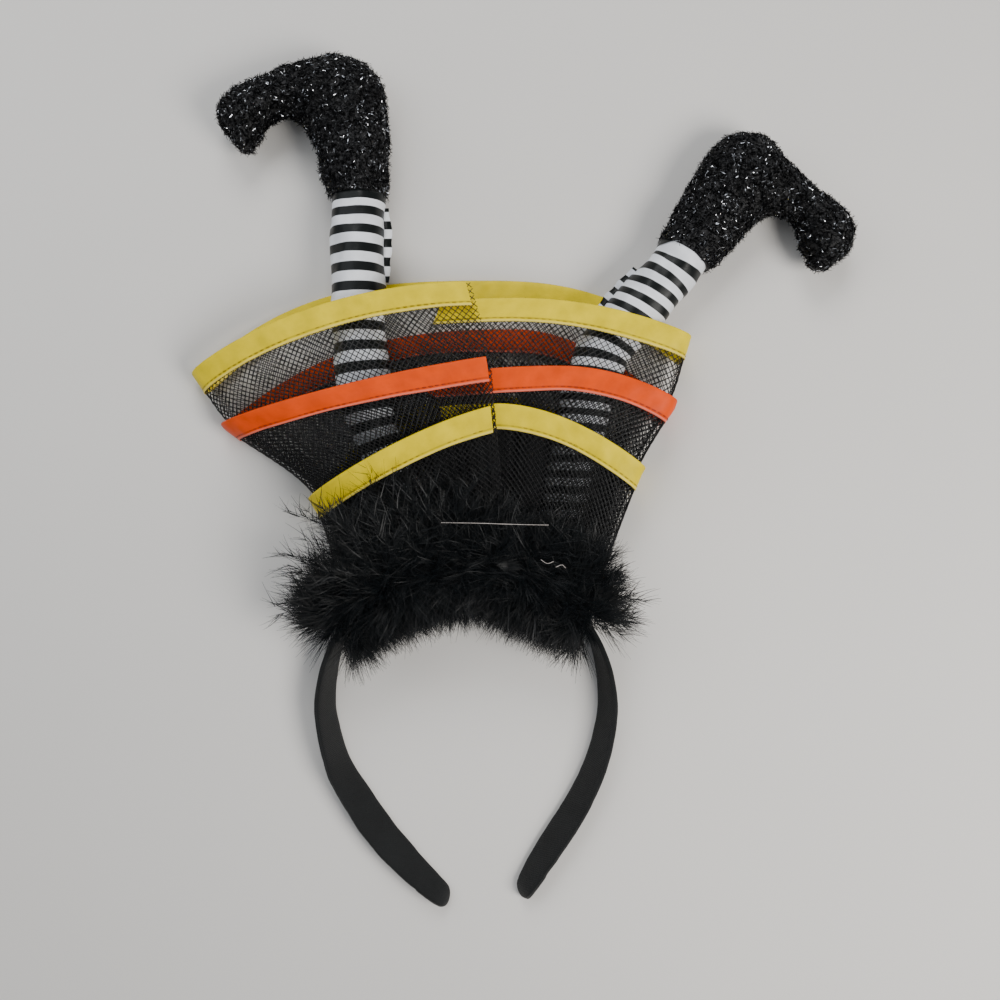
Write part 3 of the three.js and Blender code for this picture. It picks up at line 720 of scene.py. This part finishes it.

# color, the stitches' colour (their thread's, darkened as painted shade where it sinks in), slot
yellow = ((0.86, 0.66, 0), (0.3, 0.19, 0.001, 1), "yellow_satin")
orange = ((0.85, 0.075, 0), (0.26, 0.016, 0.002, 1), "orange_satin")
ribbons = {"tall": yellow, "middle": orange, "short": yellow}

# Satin weave: fine floats along the ribbon that break up here and there.
satin, taken, given = new_group(
    "Satin weave",
    {"Place": ("Vector", None), "Float": ("Float", 0.0003), "Depth": ("Float", 0.00002)},
    {"Normal": "Vector"},
)
stretch = add_node(
    satin, "VectorMath", {0: taken["Place"], 1: float_stretch}, operation="MULTIPLY"
)
fine = add_node(
    satin, "VectorMath", {0: stretch["Vector"], 1: taken["Float"]}, operation="DIVIDE"
)
grain = add_node(satin, "TexNoise", {"Vector": fine["Vector"], "Scale": 1, "Detail": 2})
slope = add_node(satin, "Bump", {"Height": grain["Fac"], "Distance": taken["Depth"]})
feed(satin, given["Normal"], slope["Normal"])


def mixed(tree, share, color, other):
    """One colour turning into another, by a share from 0 to 1."""
    inputs = {0: share, 6: color, 7: other}
    return add_node(tree, "Mix", inputs, data_type="RGBA")[2]


def ribbon_look(name, color):
    """Satin with painted shade along its seam, and whose lower edge shows a lighter selvedge."""
    look, tree, shader = new_material(name, {"Roughness": 0.42, "Specular IOR Level": 0.12})
    cloth = add_node(tree, "Attribute", {}, attribute_name="cloth")["Vector"]
    woven = use_group(tree, satin, {"Place": cloth, "Float": 0.0003, "Depth": 0.00006})
    down = add_node(tree, "SeparateXYZ", {0: cloth})["Y"]
    # Painted shade: the colour darkens along the seam line, as shade in its groove.
    off_seam = maths(tree, "ABSOLUTE", maths(tree, "SUBTRACT", down, seam_down))
    seam_shade = mapped(tree, off_seam, 0, seam_width, seam_painted_shade, 1)
    strength = maths(tree, "MULTIPLY", drift(tree, cloth, 110, 0.8, 1.06), seam_shade)
    low = hem_height - selvedge_height
    pale = mapped(tree, down, low, low + selvedge_soft, 0, selvedge_pale)
    edge = [channel * (1 - selvedge_white) + selvedge_white for channel in color]
    tint = mixed(tree, pale, shaded(tree, color, strength), (*edge, 1))
    feed(tree, shader.inputs["Base Color"], tint)
    feed(tree, shader.inputs["Normal"], woven["Normal"])
    return look


def ribbon_section():
    """The folded ribbon, seen from its end: distances down from the rim and off the net."""
    downs = np.array(hem_posts) * hem_height
    outer, inner = [], []
    for half, path in ((ribbon_half, outer), (ribbon_half - ribbon_wall, inner)):
        wall = ribbon_half - half
        path += [(down, half) for down in downs]
        for turn in np.linspace(90, -90, hem_bend_posts):
            angle = math.radians(turn)
            path.append((ribbon_half + wall - half * math.cos(angle), half * math.sin(angle)))
        path += [(down, -half) for down in downs[::-1]]
    return np.array(outer + inner[::-1])


def ribbon(sheet, seed, joint):
    """The ribbon's rings along its rim, with its puckers, waves and joint."""
    run = np.arange(hem_end_short, sheet["length"] - hem_end_short, hem_step)
    section = ribbon_section()
    down = np.broadcast_to(section[:, 0], (len(run), len(section)))
    off = np.broadcast_to(section[:, 1], down.shape)
    side = np.sign(off)
    place = np.stack(np.broadcast_arrays(run[:, None], down, off * sides_apart), -1)
    seam = np.exp(-(((down - seam_down) / seam_width) ** 2))
    beat = np.cos(2 * math.pi * run / stitch_pitch)[:, None]
    off = off - side * seam * (seam_pull + stitch_pull * beat)
    size, height = puckers
    swell = ripple(place, size, seed) * height
    size, height = billows
    swell = swell + ripple(place, size, seed + 1) * height
    off = off + side * swell * np.clip(down / billow_free, 0, 1)
    off = off + side * joint_step * (run > joint)[:, None]
    size, height = edge_waves
    wave = ripple(np.stack([run, run * 0, run * 0], -1), size, seed + 2) * height
    down = down + wave[:, None] * down / hem_height
    middle, facing = on_sheet(sheet, np.broadcast_to(run[:, None], down.shape), down)
    return run, section, middle + facing * off[..., None]


def stitches(sheet, side, joint):
    """Short flat ticks along the seam, on one side of the hem, each as its points."""
    long, high, thick = stitch_size
    ticks = []
    for place in np.arange(stitch_margin, sheet["length"] - stitch_margin, stitch_pitch):
        x = place + stitch_corners[:, 0] * long / 2
        y = seam_down + stitch_corners[:, 1] * high / 2
        middle, facing = on_sheet(sheet, x, y)
        lift = ribbon_half - stitch_sunk + joint_step * (place > joint)
        low = middle + facing * side * (lift - thick / 2)
        top = middle + facing * side * (lift + thick)
        ticks.append(np.vstack([low, top, top.mean(axis=0)]))
    return ticks


tick_corners = len(stitch_corners)
tick_top = np.arange(tick_corners, 2 * tick_corners)
tick_middle = np.full(tick_corners, 2 * tick_corners)
tick_tips = np.stack([tick_top, np.roll(tick_top, -1), tick_middle], -1)

for layer, (row, sheet) in enumerate(zip(rims, sheets)):
    name = row["name"]
    color, stitch_color_and_shade, slot = ribbons[name]
    joint = math.inf  # only the short hem has one
    if name == "short":
        gone = distances(rim_points(layer, layer, rim_fine))
        joint = float(np.interp(folds[1] + (1 - folds[1]) * ribbon_joint, rim_fine, gone))
    run, section, rings = ribbon(sheet, ribbon_seed + layer, joint)
    faces = walls(*rings.shape[:2]).tolist()
    look = ribbon_look(slot + "_" + name, color)
    hem = new_piece("ribbon_hem_" + name, rings.reshape(-1, 3), faces, look)
    flat = np.stack(np.broadcast_arrays(run[:, None], section[:, 0], 0.0), -1)
    keep_values(hem, "cloth", flat.reshape(-1, 3))
    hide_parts("hem_" + name)

    # The stitches' colour is their thread's, darkened as painted shade where the thread sinks into
    # the satin.
    thread, _, _ = new_material(
        "seam_thread_shaded_" + name, {"Base Color": stitch_color_and_shade, "Roughness": 0.6}
    )
    ticks = stitches(sheet, 1, joint) + stitches(sheet, -1, joint)
    points, sides = joined([(tick, walls(2, tick_corners)) for tick in ticks])
    _, tips = joined([(tick, tick_tips) for tick in ticks])
    seam = new_piece("hem_stitches_" + name, points, sides.tolist() + tips.tolist(), thread)


# Stockings
# Two tubes of black and white striped satin, flat where they are sewn to the band and softly
# stuffed above. A narrow seam allowance stands out at one side, and the stuffing makes bumps.

leg_length = 0.165
leg_diameter = 0.0236
leg_rings = 170
leg_sides = 56
leg_lumps = [(0.009, 31, 0.0005), (0.0035, 32, 0.00016)]
leg_inset = 0.0003  # so that the lumps stay about the leg's own size
lumps_from = 1 / 8  # share of the leg where its lumps reach their full height
leg_off_floor = 0.0003
route_fine = np.linspace(0, 1, 801)
flap_width = 0.0026
flap_wall = 0.0008
flap_posts = 40
flap_ends = (0.06, 0.94)  # shares of a half wave, which is how the flap swells and ends
flap_wrinkle = (0.004, 33, 0.15)  # of its width
flap_curl = (0.005, 34, 0.0003)  # up and down
stripe_edge = (0.245, 0.275)  # off a white stripe's middle, in shares of a pair of stripes
stripe_white = (0.84, 0.86, 0.9)
stripe_black = (0.004, 0.0055, 0.0055, 1)

# Shares of the leg's length, from the crown's top.
leg_routes = {
    "left": [
        (-0.097, -0.008),
        (-0.11, 0.045),
        (-0.165, 0.16),
        (-0.235, 0.32),
        (-0.265, 0.47),
        (-0.277, 0.64),
        (-0.279, 0.8),
        (-0.279, 0.935),
    ],
    "right": [
        (0.184, -0.041),
        (0.208, 0.007),
        (0.235, 0.08),
        (0.262, 0.19),
        (0.285, 0.3),
        (0.315, 0.42),
        (0.352, 0.53),
        (0.43, 0.625),
        (0.505, 0.714),
        (0.54, 0.748),
        (0.565, 0.785),
    ],
}

# Share of the way to the boot; width, thickness and height in shares of the diameter.
leg_sections = np.array(
    [
        (0, 0.76, 0.18, 0.285),
        (0.1, 0.77, 0.31, 0.38),
        (0.2, 0.79, 0.46, 0.485),
        (0.3, 0.82, 0.63, 0.575),
        (0.4, 0.88, 0.8, 0.67),
        (0.52, 1, 0.92, 0.675),
        (0.66, 1, 0.96, 0.65),
        (0.82, 1, 0.99, 0.605),
        (1, 1, 1, 0.53),
    ]
)
flaps = {"left": (1, 0.77, 0.97), "right": (-1, 0.66, 0.88)}  # side, from, to

# Shares of the way to the boot, the number of white stripes up to there, and how many
# stripes the pattern slips from the left side of the leg to its right side.
stripes = {
    "left": (
        (0, 0.153, 0.311, 0.5135, 0.6225, 0.876, 0.971, 0.985),
        (-2.5, 0.5, 3.5, 7.5, 9.5, 14.5, 16.5, 17),
        0,
    ),
    "right": (
        (0, 0.27, 0.445, 0.6, 0.75, 0.975, 1),
        (-3.5, 2.5, 6.5, 10.5, 13.5, 18.5, 18.6),
        -0.55,
    ),
}

stocking_look, tree, shader = new_material(
    "striped_satin", {"Roughness": 0.38, "Specular IOR Level": 0.22}
)
place = add_node(tree, "TexCoord", {})["Object"]
stripe = add_node(tree, "Attribute", {}, attribute_name="stripe")["Fac"]
off = maths(tree, "ABSOLUTE", maths(tree, "SUBTRACT", maths(tree, "FRACT", stripe), 0.5))
black_share = mapped(tree, off, *stripe_edge, 0, 1)
white = shaded(tree, stripe_white, drift(tree, place, 120, 0.85, 1.08))
tint = mixed(tree, black_share, white, stripe_black)
woven = use_group(tree, satin, {"Place": place, "Float": 0.0004, "Depth": 0.00005})
feed(tree, shader.inputs["Base Color"], tint)
feed(tree, shader.inputs["Normal"], woven["Normal"])


def leg_places(name, at):
    """The middle, direction, side, half width and half thickness of a leg at shares of it."""
    posts = np.array([(x * leg_length, crown_radius + y * leg_length) for x, y in leg_routes[name]])
    fine = spline(posts, route_fine)
    gone = distances(fine)
    line = looked_up(at * gone[-1], gone, fine)
    along = unit(looked_up(at * gone[-1], gone, unit(np.gradient(fine, axis=0))))
    wide, thick, high = looked_up(at, leg_sections[:, 0], leg_sections[:, 1:]).T
    middle = np.c_[line, high * leg_diameter]
    across = np.c_[along[:, 1], -along[:, 0], np.zeros(len(at))]
    return middle, along, across, wide * leg_diameter / 2, thick * leg_diameter / 2


for name, (side, start, end) in flaps.items():
    at = np.linspace(0, 1, leg_rings)
    middle, _, across, wide, thick = leg_places(name, at)
    cosines, sines = circle(leg_sides)
    spoke = across[:, None] * cosines[:, None] * wide[:, None, None]
    spoke = spoke + up * (sines[:, None] * thick[:, None, None])
    rings = middle[:, None] + spoke
    lumps = bumps(rings, leg_lumps) - leg_inset
    rings = rings + unit(spoke) * (lumps * np.clip(at / lumps_from, 0, 1)[:, None])[..., None]
    rings[..., 2] = np.maximum(rings[..., 2], leg_off_floor)
    numbers, counts, slip = stripes[name]
    stripe = np.interp(at, numbers, counts)[:, None] + slip * cosines[None] / 2
    if name == "left":
        stripe = np.where(at[:, None] > numbers[-1], counts[-1], stripe)
    points, faces = skin(rings)
    values = np.r_[stripe.ravel(), stripe[0].mean(), stripe[-1].mean()]

    flap_at = np.linspace(start, end, flap_posts)
    middle, _, across, wide, _ = leg_places(name, flap_at)
    proud = flap_width * np.sin(math.pi * np.linspace(*flap_ends, flap_posts)) ** 0.5
    proud = proud * (1 + bumps(middle, [flap_wrinkle]))
    inner = middle + across * (side * (wide - flap_width))[:, None]
    outer = middle + across * (side * (wide + proud))[:, None]
    lift = up * flap_wall / 2
    rings = np.stack([inner - lift, outer - lift, outer + lift, inner + lift], 1)
    rings[..., 2] += bumps(rings, [flap_curl])
    flap_points, flap_faces = skin(rings)
    flap_stripe = np.interp(flap_at, numbers, counts) + 0.5
    values = np.r_[values, np.repeat(flap_stripe, rings.shape[1]), flap_stripe[[0, -1]]]
    faces = faces + [[k + len(points) for k in face] for face in flap_faces]
    points = np.vstack([points, flap_points])

    stocking = new_piece("striped_stocking_" + name, points, faces, stocking_look)
    keep_values(stocking, "stripe", values)
    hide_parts("stocking_" + name)


# Boots
# Stuffed boots of black looped tinsel cloth: a dark ground under thousands of thin shiny strips
# that stand out every way, so that the outline is tufted and some strips flash. A share of the
# strips is coloured pale silver, as painted glints.

boot_length = 0.0735
boot_height = 0.0605
boot_thickness = 0.0265
boot_axis_height = 0.0125
boot_gap = 0.0003
toe_dome = 0.0042  # how far the toe bulges past its last row
toe_bulge = np.linspace(0.1, 1, 9)[:, None, None]
toe_roundness = 1.02
boot_rings = 130
boot_sides = 60
boot_lumps = [(0.0012, 51, 0.0003), (0.006, 52, 0.0004)]
boot_inset = 0.0011  # the cloth's ground lies this far inside the strips' tips
boot_off_floor = 0.0002
ground_black = (0.006, 0.006, 0.007)
strip_black = (0.006, 0.0062, 0.007)
# Painted glints: a share of the strips is pale silver, standing in for the glints that light throws
# off the shiny black strips.
painted_glint_color = (0.75, 0.77, 0.82)
tinsel_seed = 50
strip_count = 22500
strip_length = 0.0027
strip_shortest = 0.45  # share of that length
strip_half = 0.00016
strip_posts = 4
strip_stand = (0.05, 0.75)  # from lying down to standing up
strip_curl = 0.45  # share of a strip's length by which it curls away
strip_lift = 0.0002
strip_floor_free = 0.0006  # below this no strip is rooted
painted_glint_share = 0.13
painted_glint_size = 0.6  # a painted glint lights only part of a strip, so these strips are shorter

# Shares of the boot's length towards the toe and of its height towards the sole, for the
# instep side and then for the heel and sole side, and the share of its thickness.
boot_rows = {
    "left": [
        (0.18, 0, -0.18, 0, 0.9),
        (0.215, 0.13, -0.18, 0.16, 0.96),
        (0.25, 0.32, -0.18, 0.38, 1),
        (0.315, 0.47, -0.17, 0.62, 1),
        (0.36, 0.53, -0.14, 0.8, 1),
        (0.4, 0.555, -0.05, 0.93, 1),
        (0.43, 0.56, 0.1, 0.99, 0.98),
        (0.45, 0.555, 0.25, 0.97, 0.94),
        (0.48, 0.54, 0.4, 0.92, 0.9),
        (0.505, 0.515, 0.54, 0.86, 0.88),
        (0.53, 0.48, 0.69, 0.78, 0.88),
        (0.55, 0.44, 0.81, 0.66, 0.86),
        (0.57, 0.4, 0.81, 0.52, 0.72),
        (0.61, 0.355, 0.745, 0.41, 0.45),
    ],
    "right": [
        (0.18, 0, -0.18, 0, 0.9),
        (0.205, 0.13, -0.19, 0.16, 0.96),
        (0.23, 0.32, -0.205, 0.39, 1),
        (0.245, 0.45, -0.22, 0.63, 1),
        (0.27, 0.52, -0.2, 0.81, 1),
        (0.3, 0.565, -0.13, 0.94, 1),
        (0.33, 0.59, 0, 1, 0.98),
        (0.36, 0.61, 0.14, 0.96, 0.94),
        (0.39, 0.625, 0.28, 0.925, 0.9),
        (0.42, 0.625, 0.42, 0.9, 0.88),
        (0.455, 0.6, 0.58, 0.895, 0.88),
        (0.49, 0.55, 0.73, 0.84, 0.88),
        (0.53, 0.495, 0.79, 0.68, 0.78),
        (0.6, 0.47, 0.755, 0.53, 0.5),
    ],
}
toe_sides = {"left": -1, "right": 1}

boot_ground = dyed(
    "tinsel_ground", ground_black, {"Roughness": 0.7, "Sheen Weight": 0.1}, 500, 0.4, 1.6
)
strip_looks = {
    key: dyed("tinsel_" + key, color, {"Metallic": 0.85, "Roughness": roughness}, 900, 0.5, 1.5)
    for key, color, roughness in (("black", strip_black, 0.3), ("painted_glint", painted_glint_color, 0.25))
}


def tapered(t, loss):
    """How wide or long something still is, at shares of the way to its tip."""
    return 1.1 - loss * t


def blades(middles, halves):
    """Flat strips, one for each row of middles, which lie halves to each side of them."""
    count, posts = middles.shape[:2]
    points = np.stack([middles - halves, middles + halves], axis=2).reshape(-1, 3)
    start = (np.arange(count)[:, None] * posts + np.arange(posts - 1)) * 2
    faces = np.stack([start, start + 1, start + 3, start + 2], -1).reshape(-1, 4)
    return points, faces


def boot_rings_of(name):
    """The boot's rings, from its cuff over the ankle and the sole to the curled toe."""
    cuff, along, *_ = leg_places(name, np.array([1.0]))
    along = np.r_[along[0], 0]
    toe = np.array([along[1], -along[0], 0]) * toe_sides[name]
    cuff = cuff[0] * (1, 1, 0) + along * boot_gap
    rows = np.array(boot_rows[name])

    def placed(x, y):
        return cuff + np.outer(x * boot_length, toe) + np.outer(y * boot_height, along)

    places = np.linspace(0, 1, boot_rings)
    inner = spline(placed(rows[:, 0], rows[:, 1]), places)
    outer = spline(placed(rows[:, 2], rows[:, 3]), places)
    thick = np.interp(places * (len(rows) - 1), np.arange(len(rows)), rows[:, 4])
    middle, half = (inner + outer) / 2, (outer - inner) / 2
    cosines, sines = circle(boot_sides)
    rings = middle[:, None] + half[:, None] * cosines[:, None]
    rings[..., 2] = boot_axis_height + sines * (thick * boot_thickness / 2)[:, None]
    return rings


def scattered(points, faces, count, luck):
    """Random places all over a body, with the way that it faces there."""
    quads = np.array([face for face in faces if len(face) == 4])
    a, b, c, d = (points[quads[:, k]] for k in range(4))
    normal = np.cross(c - a, d - b)
    area = np.linalg.norm(normal, axis=1)
    pick = luck.choice(len(quads), count, p=area / area.sum())
    u, v = luck.random((2, count, 1))
    low = a[pick] * (1 - u) + b[pick] * u
    high = d[pick] * (1 - u) + c[pick] * u
    return low * (1 - v) + high * v, unit(normal[pick])


for seed, name in enumerate(("left", "right")):
    luck = np.random.default_rng(tinsel_seed + seed)
    rings = boot_rings_of(name)
    centre = rings[-1].mean(axis=0)
    ahead = unit((rings[-1] - rings[-4]).mean(axis=0))
    dome = centre + (rings[-1] - centre) * np.sqrt(toe_roundness - toe_bulge**2)
    rings = np.concatenate([rings, dome + ahead * toe_dome * toe_bulge])
    spoke = rings - rings.mean(axis=1, keepdims=True)
    fuzz = bumps(rings, boot_lumps) - boot_inset
    rings = rings + unit(spoke) * fuzz[..., None]
    rings[..., 2] = np.maximum(rings[..., 2], boot_off_floor)
    points, faces = skin(rings)
    ground = new_piece("boot_ground_" + name, points, faces, boot_ground)
    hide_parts("boot_" + name)

    root, facing = scattered(points, faces, strip_count, luck)
    above = root[:, 2] > strip_floor_free
    root, facing = root[above], facing[above]
    count = len(root)
    way = unit(np.cross(facing, luck.normal(size=(count, 3))))
    stand = luck.uniform(*strip_stand, (count, 1))
    heading = unit(way + facing * stand)
    bend = unit(luck.normal(size=(count, 3)))
    # Painted glints: these strips take the pale silver colour.
    is_painted_glint = luck.random(count) < painted_glint_share
    length = strip_length * luck.uniform(strip_shortest, 1, (count, 1, 1))
    length = length * np.where(is_painted_glint, painted_glint_size, 1)[:, None, None]
    t = np.linspace(0, 1, strip_posts)[None, :, None]
    curl = (bend - facing * stand)[:, None] * strip_curl
    middles = (root + facing * strip_lift)[:, None] + length * (heading[:, None] * t + curl * t**2)
    middles[..., 2] = np.maximum(middles[..., 2], boot_off_floor)
    roll = luck.uniform(0, math.pi, (count, 1))
    flat_way = np.cross(heading, facing) * np.cos(roll) + facing * np.sin(roll)
    halves = unit(flat_way)[:, None] * strip_half * tapered(t, 0.5)
    for key, chosen in (("black", ~is_painted_glint), ("painted_glint", is_painted_glint)):
        points, faces = blades(middles[chosen], halves[chosen])
        strips = new_piece(f"tinsel_{key}_{name}", points, faces.tolist(), strip_looks[key])


# Feather trim
# A cord of black marabou down, wound along the crown and a little way down both arms. Each
# feather is a thin shaft with soft barbs to both sides, and they lie over each other.

trim_core = 0.0062
trim_clearance = 0.0011  # from the band to the core
trim_reach = 0.035
core_short = 3  # degrees by which the core stops short of the trim's ends
core_taper = 14  # degrees over which its ends run out
core_rings = 150
core_sides = 24
core_least = 0.01
core_lumps = (0.004, 60, 0.14)
feather_seed = 70
barbs_each = 44
barb_posts = 5
barb_half = 0.00015
barb_size = (0.006, 0.017)
barb_open = (10, 48)  # degrees off the shaft
barb_first = 0.08  # share of the shaft below which it is bare
barb_rise = 0.1
barb_puff = 0.13  # this and the next three: how far chance moves them
barb_turn = 0.5
curl_shared = 0.9  # by all barbs of a feather
curl_own = 0.35
curl_way = (0.6, -0.4)  # along the feather, and up
barb_curl = 0.35  # share of a barb's length by which it curls away
shaft_posts = 6
shaft_half = 0.00025
shaft_sizes = (0.7, 1.05)  # shares of the trim's reach, less what the barbs add
shaft_least = 0.006
shaft_up = 0.011  # reach of the feathers that stand straight up
shaft_climb = (0.34, 0.1)  # slope over the skirt, and elsewhere
shaft_lift = 0.5  # how much more slope it has where it stands up
lift_least = -0.4
shaft_droop = (0.1, 0.7)  # over the skirt, and elsewhere
droop_share = (0.4, 0.6)  # the least of it, and what is added straight outwards or inwards
shaft_fan = 0.45  # this and the next two: how far chance turns and bends it
shaft_swing = 0.25
shaft_twist = 0.25
barbs_add = 0.005
root_depth = 0.001  # how deep in the core a feather is rooted
feather_off_floor = 0.0004
feather_black = (0.0018, 0.0023, 0.0027)

# Degrees along the crown; reach away from the head and towards it, in shares of the trim's
# reach; how high the core rests above the band, in metres.
trim_rows = np.array(
    [
        (-61, 0.36, 0.22, -0.0012),
        (-50, 0.7, 0.32, -0.0006),
        (-38, 1.1, 0.5, 0.0016),
        (-24, 1.4, 0.6, 0.004),
        (-8, 1, 0.62, 0.0042),
        (0, 0.7, 0.62, 0.0042),
        (23, 0.65, 0.6, 0.0036),
        (40, 0.85, 0.5, 0.001),
        (50, 0.6, 0.32, -0.0006),
        (58, 0.36, 0.22, -0.0012),
    ]
)
skirt_edge = 46  # degrees, where the feathers no longer lie on the skirt

# Name, from and to along the crown, number of feathers, and the range of their tilts.
plumes = [
    ("left", -57, -24, 275, (-50, 235)),
    ("middle", -24, 17, 275, (-50, 235)),
    ("right", 17, 55, 275, (-50, 235)),
    ("under", -59, 56, 84, (225, 315)),
]
crowd_height = 0.034  # above this the barbs bend over
crowd_depth = 0.011

feather_gloss = {
    "Roughness": 0.45,
    "Specular IOR Level": 0.35,
    "Sheen Weight": 0.04,
    "Sheen Tint": (0.6, 0.85, 1, 1),
}
feather_look = dyed("marabou", feather_black, feather_gloss, 150, 0.5, 2)


def trim_places(at):
    """The core's middle, the way outwards and both reaches, at degrees along the crown."""
    angle = np.radians(at)
    outwards = np.stack([np.sin(angle), np.cos(angle), 0 * angle], -1)
    lean = np.radians(np.interp(np.abs(at), *crown_lean))
    top = band_width * np.cos(lean) + band_thickness * np.sin(lean)
    out, down, high = looked_up(at, trim_rows[:, 0], trim_rows[:, 1:]).T
    radius = crown_radius - band_thickness / 2 - band_width * np.sin(lean) / 4
    middle = outwards * radius[:, None]
    middle[:, 2] = top + trim_clearance + trim_core + high
    return middle, outwards, out * trim_reach, down * trim_reach


def bent_over(points):
    """Barbs and shafts that stand too high bend over, and low ones lie down on the floor."""
    above = np.maximum(points[..., 2] - crowd_height, 0)
    points[..., 2] += crowd_depth * np.tanh(above / crowd_depth) - above
    points[..., 2] = np.maximum(points[..., 2], feather_off_floor)
    return points


def feathers(first, last, n, tilts, luck):
    """Feathers rooted on the core between two places, as points and faces."""
    at = luck.uniform(first, last, n)
    middle, outwards, out, down = trim_places(at)
    sideways = np.stack([-outwards[:, 1], outwards[:, 0], 0 * at], -1)
    tilt = np.radians(luck.uniform(*tilts, n))  # 0 outwards, 90 up, 180 towards the head
    forward, lift = np.cos(tilt), np.sin(tilt)
    reach = np.where(forward > 0, out, down) * np.abs(forward) + shaft_up * np.abs(lift)
    length = np.maximum(reach - barbs_add, shaft_least) * luck.uniform(*shaft_sizes, n)
    over_skirt = (forward > 0) & (np.abs(at) < skirt_edge)
    climb = np.where(over_skirt, shaft_climb[0] * forward, shaft_climb[1])
    climb = climb + shaft_lift * np.maximum(lift, lift_least)
    droop = np.where(over_skirt, *shaft_droop)
    droop = droop * (droop_share[0] + droop_share[1] * np.abs(forward))
    heading = unit(
        outwards * forward[:, None]
        + sideways * luck.normal(0, shaft_fan, (n, 1))
        + up * climb[:, None]
    )
    rooted = trim_core - root_depth
    root = middle + (outwards * forward[:, None] + up * lift[:, None]) * rooted

    t = luck.uniform(barb_first, 1, (n, barbs_each))
    along = length[:, None] * t
    swing = luck.normal(0, shaft_swing, (n, 1))
    foot = (
        root[:, None]
        + heading[:, None] * along[..., None]
        + sideways[:, None] * (swing * t * along)[..., None]
        - up * (droop[:, None] * t * along)[..., None]
    )
    across = unit(np.cross(heading, up) + luck.normal(0, shaft_twist, (n, 3)))
    hand = np.where(luck.random((n, barbs_each)) < 0.5, -1, 1)
    open_angle = np.radians(luck.uniform(*barb_open, (n, barbs_each)))
    puff = luck.normal(0, barb_puff, (n, barbs_each, 3))
    way = unit(
        heading[:, None] * np.cos(open_angle)[..., None]
        + across[:, None] * (hand * np.sin(open_angle))[..., None]
        + puff
        + up * barb_rise
    )
    size = luck.uniform(*barb_size, (n, barbs_each)) * tapered(t, 0.5)
    curl = luck.normal(0, curl_shared, (n, 1, 3))
    curl = curl + luck.normal(0, curl_own, (n, barbs_each, 3))
    curl = unit(curl + heading[:, None] * curl_way[0] + up * curl_way[1])
    s = np.linspace(0, 1, barb_posts)[:, None]
    middles = foot[:, :, None] + size[..., None, None] * (
        way[:, :, None] * s + curl[:, :, None] * barb_curl * s**2
    )
    middles = bent_over(middles.reshape(-1, barb_posts, 3))
    way = way.reshape(-1, 3)
    flat = unit(np.cross(way, up) + luck.normal(0, barb_turn, way.shape))
    barbs = blades(middles, flat[:, None] * barb_half * tapered(s, 0.85))

    s = np.linspace(0, 1, shaft_posts)[None, :, None]
    reach = length[:, None, None]
    shaft = (
        root[:, None]
        + heading[:, None] * reach * s
        + sideways[:, None] * swing[..., None] * reach * s**2
        - up * droop[:, None, None] * reach * s**2
    )
    shafts = blades(bent_over(shaft), across[:, None] * shaft_half * tapered(s, 0.8))
    return joined([barbs, shafts])


places = np.linspace(trim_rows[0, 0] + core_short, trim_rows[-1, 0] - core_short, core_rings)
middle, outwards, *_ = trim_places(places)
cosines, sines = circle(core_sides)
spoke = outwards[:, None] * cosines[:, None] + up * sines[:, None]
from_end = np.minimum(places - places[0], places[-1] - places)
girth = trim_core * np.sqrt(np.clip(from_end / core_taper, core_least, 1))
lumps = 1 + bumps(middle[:, None] + spoke * trim_core, [core_lumps])
rings = middle[:, None] + spoke * (girth[:, None] * lumps)[..., None]
points, faces = skin(rings)
core = new_piece("marabou_core", points, faces, feather_look)
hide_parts("feather_trim")

for seed, (name, first, last, count, tilts) in enumerate(plumes):
    luck = np.random.default_rng(feather_seed + seed)
    points, faces = feathers(first, last, count, tilts, luck)
    plume = new_piece("marabou_" + name, points, faces.tolist(), feather_look)


# Loose threads
# A pale sewing thread that lies over the trim, and two short white ends, as left by the sewing
# machine. The finest of cotton, neither glued nor sewn down.

loose_radius = 0.00013
loose_posts = 40
loose_sides = 6
loose_ends = [
    [
        (-0.009, 0.0812, 0.0418),
        (0.006, 0.081, 0.0432),
        (0.021, 0.0805, 0.0428),
        (0.034, 0.0802, 0.0405),
    ],
    [(0.031, 0.0662, 0.039), (0.0335, 0.0648, 0.0402), (0.036, 0.0655, 0.0395)],
    [(0.037, 0.0632, 0.0385), (0.0395, 0.0641, 0.0388), (0.041, 0.0628, 0.0378)],
]

cotton = dyed("loose_cotton", (0.55, 0.5, 0.47), {"Roughness": 0.45}, 400, 0.6, 1.1)
parts = []
for posts in loose_ends:
    line = spline(posts, np.linspace(0, 1, loose_posts))
    facing = np.broadcast_to(up, line.shape)
    parts.append(thread_tube(line, facing, np.full(len(line), loose_radius), loose_sides))
points, faces = joined(parts)
new_piece("loose_threads", points, faces.tolist(), cotton)


# The scene's size

sizes = {"cad": cad_bounds, "scene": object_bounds()}


def plain(value):
    """The same value as plain lists and numbers."""
    if isinstance(value, dict):
        return {key: plain(item) for key, item in value.items()}
    if hasattr(value, "__len__") and not isinstance(value, str):
        return [plain(item) for item in value]
    return value if isinstance(value, str) else float(value)


plain(sizes)
